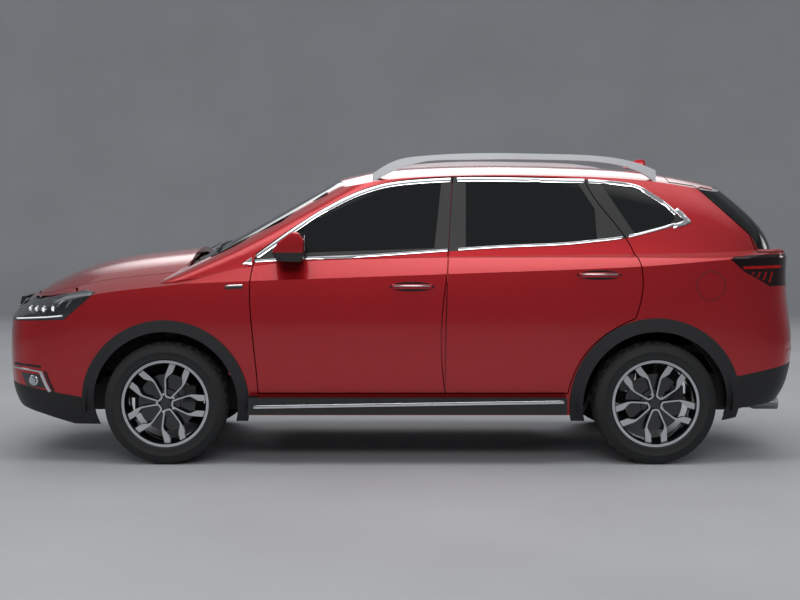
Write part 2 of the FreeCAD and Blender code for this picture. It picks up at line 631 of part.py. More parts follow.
def liner(axle, wall):
    """A wheelhouse wall, from the arch's lip inwards."""
    space = bar(axle, WELL + LINER, -LIP, -wall + LINER).cut(wheelhouse(axle, wall))
    return space.common(block(-FAR, FAR, -FAR, 0, HUB + size("hub_radius"), FAR)).common(backing)


def cut_by(shape, *tools):
    """What is left of a shape after each tool in turn."""
    for tool in tools:
        shape = shape.cut(tool)
    return shape


def largest(shape):
    """The main solid, without the slivers that a cut can leave beyond a neighbour."""
    return max(shape.Solids, key=lambda solid: solid.Volume)


def pair(name, shape):
    """A left-hand piece and its mirror image, as two pieces."""
    left = feature(f"{name}_left", shape)
    keep(f"{name}_right", reflected(f"{name}_right", left))


def twin(name, shape):
    """A left-hand solid and its mirror image in one piece."""
    feature(name, Part.makeCompound([shape, mirrored(shape)]))


def whole(name, half):
    """One piece from its left half."""
    feature(name, half.fuse(mirrored(half)).removeSplitter())


# Doors, each the full depth from skin to trim, with the window cut through.
roof_side = plan(ROOF_PLAN_SHARES, GAP)
for name, door, window in (("front", FRONT_DOOR_SHARES, FRONT_WINDOW_SHARES),
                           ("rear", REAR_DOOR_SHARES, REAR_WINDOW_SHARES)):
    panel = shell.common(side_prism(door, -GAP / 2)).cut(side_prism(window))
    pair(f"door_{name}", largest(panel.cut(roof_side)))
pair("glass_front", glass_shell.common(side_prism(FRONT_WINDOW_SHARES, -FIT)))
pair("glass_rear", glass_shell.common(side_prism(REAR_WINDOW_SHARES, -FIT)))
twin("quarter_windows", glass_shell.common(side_prism(QUARTER_WINDOW_SHARES, -FIT)))

# Side frame: pillars, cantrail and sill round the two doorways.
wing_zone = profile(WING_SHARES, -FAR, 0)
frame = shell.common(side_zone).common(profile(FRAME_START_SHARES, -FAR, 0))
frame = frame.cut(block(-FAR, FAR, -FAR, 0, -FAR, size("sill_height")))
sill = outer.common(block(station(SILL_START_SHARE), station(QUARTER_START_SHARE), -FAR,
                          -SIDE_ZONE_SHARES[1][0] * HALF_WIDTH, size("sill_height"), FLOOR_TOP))
post_space = block(station(PILLAR_SHARES[0]), station(PILLAR_SHARES[1]), -FAR, 0, FLOOR_TOP - FIT, ROOF)
behind_doors = body_volume(size("door_depth") + GAP, size("frame_depth") + GAP, size("roof_depth") + GAP,
                           size("roof_depth"))
inside = body_volume(size("door_depth") + GAP + size("pillar_depth"),
                     size("frame_depth") + GAP + size("pillar_depth"), size("roof_depth"), size("roof_depth"))
floor_side = SIDE_ZONE_SHARES[1][0] * HALF_WIDTH
post = cabin.common(post_space).cut(inside).cut(block(-FAR, FAR, -floor_side, 0, -FAR, FLOOR_TOP + FIT))
roof_bed = plan(ROOF_PLAN_SHARES).cut(under_roof(size("roof_depth") + FIT))
door_layer = front_door.fuse(rear_door).cut(behind_doors)
frame = cut_by(frame.fuse(sill).fuse(post), door_layer, windscreen_hole, deep_skin.common(wing_zone),
               wheelhouse(FRONT_AXLE, FRONT_WALL, LINER + FIT), wheelhouse(REAR_AXLE, REAR_WALL, LINER + FIT),
               bonnet_space, roof_bed)
pair("side_frame", frame)

# Quarter panel: rear pillars, wheelhouse and the tail's corner.
quarter_space = block(station(QUARTER_START_SHARE) + FIT, FAR, -FAR, 0, size("sill_height"), FAR)
corner = block(station(FLOOR_SHARES[2]) + FIT, FAR, -FAR, -CORNER_SHARES[0] * HALF_WIDTH, level(CORNER_SHARES[1]),
               FAR)
under_tail = block(REAR_AXLE + WELL, FAR, -FAR, 0, -FAR, level(CORNER_SHARES[1]))
quarter = shell.common(side_zone.fuse(corner)).common(quarter_space).fuse(liner(REAR_AXLE, REAR_WALL))
bumper_zone = profile(REAR_BUMPER_SHARES, -FAR, 0)
quarter = cut_by(quarter, tail_zone, tail_low, rear_door, side_prism(QUARTER_WINDOW_SHARES), rear_arch,
                 wheelhouse(REAR_AXLE, REAR_WALL), deep_skin.common(bumper_zone), under_tail,
                 lamp_rear.cut(lamp_lump))
pair("quarter_panel", largest(quarter))

# Wings and bumpers.
wing = skin.common(wing_zone)
cowl_space = block(station(COWL_SHARES[0]) - GAP, FAR, -BONNET_PLAN_SHARES[6][1] * HALF_WIDTH - GAP / 2, 0,
                   level(COWL_SHARES[2]), ROOF)
wing = cut_by(wing, front_door, front_arch, lamp_side, bonnet_space, windscreen_hole, cowl_space)
pair("wing", largest(wing))
bumper = skin.common(profile(BUMPER_SHARES, -FAR, 0))
bumper = cut_by(bumper, wing_zone, front_arch, lamp_side, bonnet_space, grille_hole, intake_hole)
whole("front_bumper", bumper)
rear_bumper = cut_by(skin.common(bumper_zone), rear_arch, tail_low, lamp_rear)
whole("rear_bumper", rear_bumper)
bonnet = outer.common(plan(BONNET_PLAN_SHARES, -GAP / 2)).cut(under_bonnet(size("lid_depth")))
pin = Vector(FRONT_AXLE + size("hinge_place"), -size("hinge_centre"), size("hinge_height"))
arm, lug, pin_radius = size("hinge_arm"), size("hinge_lug"), size("hinge_pin")
spread_out = arm / 2 + GAP  # from the middle of a hinge to the inner face of a lug
riser_back = station(COWL_SHARES[0]) - GAP
inner_side, outer_side = pin.y + arm / 2, pin.y - arm / 2
hinge = block(riser_back - arm, pin.x + arm / 2, outer_side, inner_side, pin.z - arm / 2, pin.z + arm / 2)
riser = block(riser_back - arm, riser_back, outer_side, inner_side, pin.z, level(COWL_SHARES[3]))
hinge = hinge.fuse(riser).common(under_bonnet(size("lid_depth") / 2))
pin_start = pin - Vector(0, spread_out + lug, 0)
hinge = hinge.fuse(Part.makeCylinder(pin_radius, 2 * (spread_out + lug), pin_start, ACROSS))
whole("bonnet", bonnet.fuse(hinge))

# Roof skin with its lining, from the windscreen's header to the tailgate.
roof = shell.common(plan(ROOF_PLAN_SHARES, -FIT))
roof = roof.common(block(-FAR, FAR, -FAR, 0, level(ROOF_START_SHARE), FAR))
whole("roof_panel", cut_by(roof, windscreen_hole, tail_zone))

# Tailgate, its glass and its lamps.
tail_inner = profile(TAIL_ZONE_SHARES, -FAR, 0, -GAP / 2)
low_inner = elevation(TAIL_LOW_SHARES, station(TAIL_START_SHARES[1]), FAR, -GAP / 2).common(left_half)
spoiler = profile(SPOILER_SHARES, -SPOILER_WIDTH_SHARE * HALF_WIDTH, 0).common(under_roof())
gate = shell.fuse(spoiler.cut(cabin)).common(tail_inner.fuse(low_inner))
pane = profile(REAR_GLASS_SHARES, -FAR, 0)
behind_glass = greenhouse(glass_back + FIT).common(under_roof(glass_back + FIT))
pocket = pane.cut(behind_glass).cut(spoiler)
opening = elevation(REAR_OPENING_SHARES, station(TAIL_START_SHARES[0]), FAR)
gate = cut_by(gate, pocket, opening.cut(spoiler), lamp_rear.cut(lamp_lump))
whole("tailgate", gate)
rear_pane = glass_shell.common(profile(REAR_GLASS_SHARES, -FAR, 0, -FIT)).common(tail_inner)
whole("tailgate_glass", rear_pane.cut(spoiler))
lamp_blank = outer.common(profile(TAIL_LAMP_SHARES, -FAR, -TAIL_LAMP_INNER_SHARE * HALF_WIDTH - FIT, -FIT))
lamp_blank = lamp_blank.cut(lower_body(size("lamp_depth") - FIT))
twin("tail_lamps", lamp_blank.cut(tail_low))
twin("tailgate_lamps", lamp_blank.common(low_inner))

# Headlamps and grille.
head = outer.common(profile(HEADLAMP_SHARES, -FAR, -HEADLAMP_INNER_SHARE * HALF_WIDTH - FIT, -FIT))
twin("headlamps", head.cut(lamp_lump).cut(bonnet_space))
sunk = size("grille_sunk")
bars_blank = lower_body(sunk).cut(lower_body(sunk + size("grille_depth")))
grille_half = []
for shares in (GRILLE_SHARES, INTAKE_SHARES):
    field = elevation(shares, -FAR, station(NOSE_CUT_SHARE), -FIT)
    ring = field.cut(elevation(shares, -FAR, station(NOSE_CUT_SHARE), -size("grille_frame")))
    top = max(h for _, h in shares)
    z = level(min(h for _, h in shares)) + size("grille_pitch")
    slats = []
    while z < level(top):
        slats.append(block(-FAR, station(NOSE_CUT_SHARE), -FAR, FAR, z, z + size("grille_bar")))
        z += size("grille_pitch")
    for piece in slats:
        ring = ring.fuse(piece.common(field))
    grille_half.append(bars_blank.common(ring).cut(bonnet_space))
feature("grille", Part.makeCompound(grille_half))

# Windscreen, bulkhead with scuttle, floor and front inner structure.
screen = glass_shell.common(plan(WINDSCREEN_SHARES, -FIT)).cut(under_bonnet(size("cowl_drop") - FIT))
whole("windscreen", largest(screen.cut(plan(BONNET_PLAN_SHARES, size("screen_start")))))
scuttle = under_bonnet(size("cowl_drop")).cut(under_bonnet(size("cowl_drop") + LINER))
scuttle = scuttle.common(backing).common(block(station(COWL_SHARES[0]) + GAP, FIREWALL + size("wall"),
                                               -COWL_SHARES[1] * HALF_WIDTH, 0, level(COWL_SHARES[2]), ROOF))
for near in (-spread_out - lug, spread_out):
    eye = pin + Vector(0, near, 0)
    ear = Part.makeCylinder(2 * pin_radius, lug, eye, ACROSS)
    leg = block(pin.x - 2 * pin_radius, pin.x + 2 * pin_radius, eye.y, eye.y + lug, level(COWL_SHARES[2]), pin.z)
    hole = Part.makeCylinder(pin_radius + FIT, lug, eye, ACROSS)
    scuttle = scuttle.fuse(cut_by(ear.fuse(leg), hole, under_bonnet(size("cowl_drop") + LINER)))
front_well = wheelhouse(FRONT_AXLE, FRONT_WALL, LINER + FIT)
base, load = size("floor_height"), size("load_floor") - size("floor_depth")
kick = (station(FLOOR_SHARES[1]) - station(FLOOR_SHARES[0])) / (load - base)
tunnel_end = station(FLOOR_SHARES[0]) + size("tunnel_height") * kick
hump = size("tunnel_width") / 2
hollow = block(FIREWALL - 2 * size("wall"), tunnel_end, -hump, hump, base - FIT, base + size("tunnel_height"))
wall = cabin.common(under_bonnet(size("cowl_drop"))).common(
    block(FIREWALL - size("wall"), FIREWALL, -FAR, 0, size("floor_height"), ROOF))
wall = cut_by(wall, wheelhouse(FRONT_AXLE, FRONT_WALL), hollow)
toe = bar(FRONT_AXLE, WELL + LINER, -LIP, -FRONT_WALL + LINER).cut(wheelhouse(FRONT_AXLE, FRONT_WALL))
toe = toe.common(block(FIREWALL - size("wall"), FAR, -FAR, 0, FLOOR_TOP + FIT, ROOF)).common(backing)
whole("bulkhead", wall.fuse(toe).fuse(scuttle))


def slab(line, depth, half_span):
    """A sheet of one depth that follows a side-view line, symmetric about the middle."""
    low = [Vector(x, -half_span, z) for x, z in line]
    high = [Vector(x, -half_span, z + depth) for x, z in reversed(line)]
    return outline(low + high).extrude(Vector(0, 2 * half_span, 0))


floor_half = SIDE_ZONE_SHARES[1][0] * HALF_WIDTH - FIT
line = [(FIREWALL + FIT, base), (station(FLOOR_SHARES[0]), base), (station(FLOOR_SHARES[1]), load),
        (station(FLOOR_SHARES[2]), load)]
floor = slab(line, size("floor_depth"), floor_half)
back_wall = block(station(FLOOR_SHARES[2]) - size("wall"), station(FLOOR_SHARES[2]), -floor_half, floor_half,
                  load, level(REAR_WALL_SHARE))
tunnel = block(FIREWALL + FIT, tunnel_end, -hump - LINER, hump + LINER, base,
               base + size("tunnel_height") + LINER)
well = wheelhouse(REAR_AXLE, REAR_WALL, LINER + FIT)
floor = cut_by(floor.fuse(back_wall).fuse(tunnel), hollow, well, mirrored(well), front_well, mirrored(front_well))
feature("floor_pan", floor.removeSplitter())

tower_hole = Part.makeCylinder(size("spring_radius") + size("tower_clearance"), size("strut_top") + FIT,
                               Vector(FRONT_AXLE, -KINGPIN, 0))
tower = Part.makeCylinder(size("spring_radius") + size("tower_clearance") + LINER,
                          size("strut_top") + LINER - 2 * HUB, Vector(FRONT_AXLE, -KINGPIN, 2 * HUB))
rail_top = size("engine_base") + 3 * size("subframe_bar")
cooler_front = station(COOLER_SHARES[0])
leg = block(cooler_front, FIREWALL - size("wall") - FIT, -FRONT_WALL + LINER, -FRONT_WALL + size("subframe_bar"),
            rail_top - 2 * size("subframe_bar"), rail_top)
cooler = block(cooler_front, cooler_front + size("subframe_bar"), -FRONT_WALL + size("subframe_bar"), 0,
               size("engine_base"), level(COOLER_SHARES[1]))
inner = cut_by(liner(FRONT_AXLE, FRONT_WALL).fuse(tower), tower_hole, wheelhouse(FRONT_AXLE, FRONT_WALL),
               windscreen_hole, wall)
inner = inner.fuse(leg).fuse(cooler).cut(block(FIREWALL - size("wall") - FIT, FAR, -FAR, 0, -FAR, FAR))
whole("front_inner", inner)

# Mouldings round the arches, side steps and roof rails.
moulding = lower_body(-size("arch_proud")).cut(lower_body(-FIT))
moulding = moulding.common(block(-FAR, FAR, -FAR, 0, level(MOULDING_START_SHARE), FAR))
for name, axle, band in (("arch_mouldings_front", FRONT_AXLE, "arch_band"),
                         ("arch_mouldings_rear", REAR_AXLE, "arch_band_rear")):
    ring = bar(axle, size("arch_radius") + size(band), -FAR, -HALF_TRACK).cut(
        bar(axle, size("arch_radius"), -FAR, -HALF_TRACK))
    twin(name, moulding.common(ring))
low = size("step_height")
step = block(station(STEP_SHARES[0]), station(STEP_SHARES[1]), -HALF_WIDTH - size("step_width"), -KINGPIN, low,
             low + size("step_depth"))
step = cut_by(step, lower_body(-FIT), bar(FRONT_AXLE, size("arch_radius") + size("arch_band") + FIT, -FAR, 0))
twin("side_steps", step)
RAIL_TOP_SHARES = [(0.4215, 0.961), (0.444, 0.986), (0.47, 1.006), (0.5185, 1.0203), (0.588, 1.0281),
                   (0.70, 1.0305), (0.80, 1.0275), (0.905, 1.019), (0.959, 1.004), (1.038, 0.972)]
RAIL_FOOT_SHARES = [(1.038, 0.930), (0.965, 0.976), (0.905, 0.999), (0.80, 1.008), (0.70, 1.0105),
                    (0.60, 1.0085), (0.53, 1.0025), (0.495, 0.988), (0.4215, 0.933)]
rail_edge = []
for shares in (RAIL_TOP_SHARES, RAIL_FOOT_SHARES):
    line = Part.BSplineCurve()
    outer_side = -size("rail_centre") - size("rail_width") / 2
    line.interpolate([Vector(station(s), outer_side, level(h)) for s, h in shares])
    rail_edge.append(line.toShape())
ends = [rail_edge[0].Vertexes[-1].Point, rail_edge[1].Vertexes[0].Point,
        rail_edge[1].Vertexes[-1].Point, rail_edge[0].Vertexes[0].Point]
rail_wire = [rail_edge[0], Part.makeLine(ends[0], ends[1]), rail_edge[1], Part.makeLine(ends[2], ends[3])]
rail = Part.Face(Part.Wire(rail_wire)).extrude(Vector(0, size("rail_width"), 0))
twin("roof_rails", rail.cut(greenhouse(-FIT).common(under_roof(-FIT))))

# Door mirrors.
MIRROR_SHARES = [(0.235, 0.672), (0.283, 0.669), (0.287, 0.74), (0.276, 0.765), (0.262, 0.768), (0.235, 0.735),
                 (0.2215, 0.70)]
MIRROR_FOOT_SHARES = [(0.24, 0.675), (0.265, 0.675), (0.265, 0.70), (0.24, 0.70)]
reach = size("mirror_reach")
head = profile(MIRROR_SHARES, -reach, -reach + size("mirror_width"))
head = head.makeFillet(size("mirror_round"), [e for e in head.Edges if e.BoundBox.YLength > FIT])
foot = profile(MIRROR_FOOT_SHARES, -reach + size("mirror_width"), -KINGPIN)
pair("mirror", cut_by(head.fuse(foot), outer, greenhouse(-FIT), lower_body(-FIT)))

# Seats and dashboard, inside the cabin.
trim_space = inside.common(block(FIREWALL + FIT, FAR, -FAR, FAR, FLOOR_TOP + FIT, FAR))
DASH_SHARES = [(FIREWALL_SHARE, 0.43), (0.21, 0.43), (0.275, 0.50), (0.285, 0.60), (0.25, 0.655),
               (0.13, 0.665), (FIREWALL_SHARE, 0.655)]
dash = profile(DASH_SHARES, -FAR, 0).common(trim_space).common(under_bonnet(size("cowl_drop") + LINER + FIT))
dash = dash.cut(wheelhouse(FRONT_AXLE, FRONT_WALL, LINER + 2 * FIT))
dash = dash.fuse(mirrored(dash)).removeSplitter()
WHEEL_TILT_SHARE = 0.4663  # rise over run of the steering column
column_way = Vector(1, 0, WHEEL_TILT_SHARE).normalize()
wheel_centre = Vector(FRONT_AXLE + size("wheel_place"), -size("seat_centre"), size("wheel_height"))
column_top = wheel_centre - column_way * (size("wheel_pad_depth") + FIT)
column = Part.makeCylinder(size("column_radius"), size("column_length"), column_top, -column_way)
feature("dashboard", dash.fuse(column).removeSplitter())
FRONT_SEAT_SHARES = [(0.345, 0.16), (0.535, 0.16), (0.60, 0.36), (0.655, 0.72), (0.615, 0.735), (0.575, 0.60),
                     (0.545, 0.405), (0.34, 0.385)]
HEAD_REST_SHARES = [(0.632, 0.745), (0.668, 0.745), (0.675, 0.83), (0.648, 0.84)]
REAR_SEAT_SHARES = [(0.70, 0.16), (0.835, 0.16), (0.925, 0.42), (0.985, 0.42), (1.03, 0.76), (0.975, 0.775),
                    (0.915, 0.45), (0.70, 0.425)]
half = size("seat_width") / 2
seat = profile(FRONT_SEAT_SHARES, -size("seat_centre") - half, -size("seat_centre") + half)
rest = profile(HEAD_REST_SHARES, -size("seat_centre") - half / 2, -size("seat_centre") + half / 2)
seat = seat.common(block(-FAR, FAR, -FAR, 0, FLOOR_TOP + FIT, FAR))
NECK_SHARES = [(0.637, 0.70), (0.650, 0.70), (0.656, 0.76), (0.643, 0.76)]
neck = profile(NECK_SHARES, -size("seat_centre") - half / 4, -size("seat_centre") + half / 4)
pair("seat_front", seat.fuse(rest).fuse(neck).removeSplitter())
bench = profile(REAR_SEAT_SHARES, -size("bench_width") / 2, size("bench_width") / 2)
for shift in (Vector(0, 0, FIT), Vector(-FIT, 0, 0)):
    bench = bench.cut(floor.translated(shift))
feature("seat_rear", largest(cut_by(bench, well, mirrored(well))))


# Running gear. A wheel is made once about its own axle, outer face up, and set in place
# four times.
TYRE_SHARES = [("rim_radius", 0.9525, "rim_width", -0.448), ("rim_radius", 1.006, "rim_width", -0.448),
               ("tyre_radius", 0.83, "tyre_width", -0.5), ("tyre_radius", 1.0, "tyre_width", -0.40),
               ("tyre_radius", 1.0, "tyre_width", 0.40), ("tyre_radius", 0.83, "tyre_width", 0.5),
               ("rim_radius", 1.006, "rim_width", 0.448), ("rim_radius", 0.9525, "rim_width", 0.448)]
BARREL_SHARES = [("rim_radius", r, "rim_width", z) for r, z in (
    (1.0, 0.5), (1.0, 0.455), (0.951, 0.45), (0.951, -0.45), (1.0, -0.455), (1.0, -0.5),
    (0.93, -0.5), (0.90, -0.43), (0.90, 0.38), (0.94, 0.5))]
# Half of a petal of two spokes: (along its middle line, to its side), shares of the rim's radius.
PETAL_OUTER_SHARES = [(0.13, 0.0), (0.135, 0.055), (0.165, 0.09), (0.34, 0.162), (0.50, 0.225), (0.57, 0.243),
                      (0.65, 0.25), (0.912, 0.25)]
PETAL_INNER_SHARES = [(0.937, 0.113), (0.73, 0.113), (0.66, 0.146), (0.60, 0.180), (0.54, 0.195), (0.48, 0.182),
                      (0.34, 0.125), (0.20, 0.066), (0.175, 0.045), (0.17, 0.0)]
PAIRS = 5  # petals to a wheel


def drawing(body, plane, loops, lift=None):
    """A sketch of closed loops of points, each point held by formulas of the sheet.
    A point is (cell, share, cell, share)."""
    sketch = body.newObject("Sketcher::SketchObject", "Sketch")
    sketch.AttachmentSupport = [item for item in body.Origin.OriginFeatures if item.Role == plane]
    sketch.MapMode = "FlatFace"
    if lift:
        sketch.setExpression("AttachmentOffset.Base.z", lift.replace("{", "Sheet.").replace("}", ""))
    for loop in loops:
        places = [Vector(size(a) * p, size(b) * q, 0) for a, p, b, q in loop]
        first = sketch.GeometryCount
        for i, place in enumerate(places):
            sketch.addGeometry(Part.LineSegment(place, places[(i + 1) % len(places)]))
        for i, (a, p, b, q) in enumerate(loop):
            after = first + (i + 1) % len(loop)
            sketch.addConstraint(Sketcher.Constraint("Coincident", first + i, 2, after, 1))
            for kind, cell, share in (("DistanceX", a, p), ("DistanceY", b, q)):
                rule = sketch.addConstraint(Sketcher.Constraint(kind, -1, 1, first + i, 1, size(cell) * share))
                sketch.setExpression(f"Constraints[{rule}]", f"Sheet.{cell} * {share}")
    return sketch


def turned(body, name, loops):
    """A solid of revolution about the body's own upright axis."""
    sketch = drawing(body, "XZ_Plane", loops)
    ring = body.newObject("PartDesign::Revolution", name)
    ring.Profile = sketch
    ring.ReferenceAxis = (sketch, ["V_Axis"])
    return ring


tyre = doc.addObject("PartDesign::Body", "tyre")
turned(tyre, "carcass", [TYRE_SHARES])
alloy = doc.addObject("PartDesign::Body", "alloy")


def round_pad(name, radius, start, length):
    """A round boss of the rim about its axle."""
    sketch = alloy.newObject("Sketcher::SketchObject", f"{name}_circle")
    sketch.AttachmentSupport = [item for item in alloy.Origin.OriginFeatures if item.Role == "XY_Plane"]
    sketch.MapMode = "FlatFace"
    follow(sketch, AttachmentOffset_at_Base_at_z=start)
    sketch.addGeometry(Part.Circle(Vector(0, 0, 0), Vector(0, 0, 1), size(radius)))
    sketch.addConstraint(Sketcher.Constraint("Coincident", 0, 3, -1, 1))
    rule = sketch.addConstraint(Sketcher.Constraint("Radius", 0, size(radius)))
    sketch.setExpression(f"Constraints[{rule}]", f"Sheet.{radius}")
    boss = alloy.newObject("PartDesign::Pad", name)
    boss.Profile = sketch
    follow(boss, Length=length)


round_pad("hub", "hub_radius", "{disc_offset}", "{hub_face} - {spoke_depth} + {hub_overlap} - {disc_offset}")
round_pad("cap", "cap_radius", "{disc_offset}", "{hub_face} - {cap_drop} - {disc_offset}")
half_petal = PETAL_OUTER_SHARES + PETAL_INNER_SHARES
petal = [("rim_radius", v, "rim_radius", u) for u, v in half_petal]
petal += [("rim_radius", -v, "rim_radius", u) for u, v in reversed(half_petal) if v]
spoke_sketch = drawing(alloy, "XY_Plane", [petal], "{hub_face} - {spoke_depth}")
spoke_pair = alloy.newObject("PartDesign::Pad", "spoke_pair")
spoke_pair.Profile = spoke_sketch
spoke_pair.setExpression("Length", "Sheet.spoke_depth")
doc.recompute()
ring = alloy.newObject("PartDesign::PolarPattern", "spokes")
ring.Originals = [spoke_pair]
ring.Axis = (spoke_sketch, ["N_Axis"])
ring.Angle = 360
ring.Occurrences = PAIRS
alloy.Tip = ring
turned(alloy, "barrel", [BARREL_SHARES])
doc.recompute()
disc = bound("Part::Cylinder", "disc", z="{disc_offset}", Radius="{disc_radius}", Height="{disc_thickness}")
bore = bound("Part::Cylinder", "bore", Radius="{stub_radius} + {bearing_fit}",
             Height="{hub_face} - {spoke_depth} / 2")
rotor = without("rotor", joined("rim_and_disc", alloy, disc), bore)
doc.recompute()
OUTWARDS = {"left": Rotation(Vector(1, 0, 0), 90), "right": Rotation(Vector(1, 0, 0), -90)}
ROLLED = {"front": Rotation(ACROSS, 94.0), "rear": Rotation(ACROSS, 106.0)}  # as the wheels stand in the photo
for end, axle in (("front", FRONT_AXLE), ("rear", REAR_AXLE)):
    for side, sign in (("left", -1), ("right", 1)):
        for kind, source in (("tyre", tyre), ("wheel", rotor)):
            name = f"{kind}_{end}_{side}"
            wheel = doc.addObject("Part::Feature", name)
            wheel.Shape = source.Shape
            wheel.Placement = FreeCAD.Placement(Vector(axle, sign * HALF_TRACK, HUB),
                                                ROLLED[end] * OUTWARDS[side])
            keep(name, wheel)

# Front knuckle on its steering axis: upright, hub carrier with stub axle, steering arm,
# caliper over the disc, damper and spring.
SIDEWAYS = Rotation(Vector(1, 0, 0), -90)
INBOARD = "-{track} / 2"
STUB_END = INBOARD + " - {hub_face} + {spoke_depth}"
upright = bound("Part::Box", "upright", x=FRONT + " - {knuckle_depth} / 2",
                y=INBOARD + " + {kingpin_offset} - {knuckle_depth} / 2",
                z="{arm_base} + {arm_depth} + {fit}", Length="{knuckle_depth}", Width="{knuckle_depth}",
                Height="{upright_top} - {arm_base} - {arm_depth} - {fit}")
steering_arm = bound("Part::Box", "steering_arm", x=FRONT, y=INBOARD + " + {kingpin_offset} - {arm_depth} / 2",
                     z="{engine_base}", Length="{caliper_reach}", Width="{arm_depth}", Height="{arm_depth}")
damper = bound("Part::Cylinder", "damper", x=FRONT, y=INBOARD + " + {kingpin_offset}", z="{tyre_radius}",
               Radius="{strut_radius}", Height="{strut_top} - {tyre_radius}")
spring = bound("Part::Cylinder", "spring", x=FRONT, y=INBOARD + " + {kingpin_offset}",
               z="{tyre_radius} * 2 + {liner_depth}", Radius="{spring_radius}",
               Height="{strut_top} - {tyre_radius} * 2 - {liner_depth} * 2")


def hub_parts(name, axle, reach):
    """Hub carrier with its stub axle, and the caliper behind it that straddles the disc."""
    carrier = bound("Part::Cylinder", f"{name}_carrier", x=axle, y=INBOARD + " - {disc_offset} + {running_gap}",
                    z="{tyre_radius}", turn=SIDEWAYS, Radius="{carrier_radius}", Height=reach)
    stub = bound("Part::Cylinder", f"{name}_stub", x=axle, y=STUB_END, z="{tyre_radius}", turn=SIDEWAYS,
                 Radius="{stub_radius}", Height=reach + " + {hub_face} - {spoke_depth}")
    jaw = bound("Part::Box", f"{name}_jaw", x=axle + " + {caliper_reach} - {caliper_length}",
                y=STUB_END + " + {running_gap}", z="{tyre_radius}", Length="{caliper_length}",
                Width="{hub_face} - {spoke_depth} - {running_gap} + {subframe_bar}", Height="{caliper_height}")
    slot = bound("Part::Cylinder", f"{name}_slot", x=axle, z="{tyre_radius}", turn=SIDEWAYS,
                 y=INBOARD + " - {disc_offset} - {disc_thickness} - {running_gap}",
                 Radius="{disc_radius} + {running_gap}", Height="{disc_thickness} + {running_gap} * 2")
    bracket = bound("Part::Box", f"{name}_bracket", x=axle, y=INBOARD + " + {running_gap} * 2", z="{tyre_radius}",
                    Length="{caliper_reach} - {caliper_length} / 2", Width="{arm_depth}",
                    Height="{caliper_height}")
    return [carrier, stub, without(f"{name}_straddle", jaw, slot), bracket]


corner_parts = hub_parts("front", FRONT, "{kingpin_offset}")
knuckle = keep("knuckle_front_left", joined("knuckle", upright, steering_arm, damper, spring, *corner_parts))
keep("knuckle_front_right", reflected("knuckle_right", knuckle))

# Front subframe with its lower arms, steering rack and posts to the body's rails.
MEMBERS = ("-{subframe_length} / 2", "-{subframe_bar} / 2", "{subframe_length} / 2 - {subframe_bar}")
cradle = [bound("Part::Cylinder", "rack", x=FRONT + " + {subframe_length} / 2 - {subframe_bar} / 2",
                y="-{rack_reach}", z="{rack_height}", turn=SIDEWAYS, Radius="{strut_radius}",
                Height="{rack_reach} * 2")]
for mark, side in (("left", "-1"), ("right", "1")):
    inner_edge = side + " * ({subframe_width} / 2 - {subframe_bar} / 2)"
    cradle.append(bound("Part::Box", f"rail_{mark}", x=FRONT + " - {subframe_length} / 2",
                        y=inner_edge + " - {subframe_bar} / 2", z="{subframe_base}", Length="{subframe_length}",
                        Width="{subframe_bar}", Height="{subframe_depth}"))
    reach = "({track} / 2 - {kingpin_offset})"
    arm_start = "({subframe_width} / 2 - {subframe_bar})"
    arm_length = "(" + reach + " - " + arm_start + ")"
    arm_middle = side + " * (" + reach + " + " + arm_start + ") / 2"
    cradle.append(bound("Part::Box", f"arm_{mark}", x=FRONT + " - {arm_width} / 2", z="{arm_base}",
                        y=arm_middle + " - " + arm_length + " / 2", Length="{arm_width}", Width=arm_length,
                        Height="{arm_depth}"))
    cradle.append(bound("Part::Cylinder", f"ball_{mark}", x=FRONT, y=side + " * " + reach, z="{arm_base}",
                        Radius="{arm_width} / 2", Height="{arm_depth}"))
    for place, start in (("fore", MEMBERS[0]), ("aft", MEMBERS[2])):
        cradle.append(bound("Part::Box", f"post_{place}_{mark}", x=FRONT + " + " + start,
                            y=inner_edge + " - {subframe_bar} / 2", z="{subframe_base}", Length="{subframe_bar}",
                            Width="{subframe_bar}", Height="{engine_base} + {subframe_bar} - {fit} - {subframe_base}"))
for number, start in enumerate(MEMBERS):
    cradle.append(bound("Part::Box", f"cross_{number}", x=FRONT + " + " + start, y="-{subframe_width} / 2",
                        z="{subframe_base}", Length="{subframe_bar}", Width="{subframe_width}",
                        Height="{subframe_depth}"))
for number, start in enumerate(MEMBERS[:2]):
    cradle.append(bound("Part::Box", f"mount_{number}", x=FRONT + " + " + start, y="-{subframe_bar} * 2",
                        z="{subframe_base}", Length="{subframe_bar}", Width="{subframe_bar} * 4",
                        Height="{engine_base} - {fit} - {subframe_base}"))
keep("front_subframe", joined("cradle", *cradle))

# Engine and gearbox as one block, with the drive shafts.
block_parts = [bound("Part::Box", "block", x=FRONT + " - {subframe_length} / 2 - {subframe_depth}",
                     y="-{engine_width} / 2", z="{engine_base}", Length="{engine_length}", Width="{engine_width}",
                     Height="{engine_height}"),
               bound("Part::Cylinder", "shafts", x=FRONT, y="-{shaft_end}", z="{tyre_radius}", turn=SIDEWAYS,
                     Radius="{shaft_radius}", Height="{shaft_end} * 2")]
keep("engine_block", joined("power_unit", *block_parts))

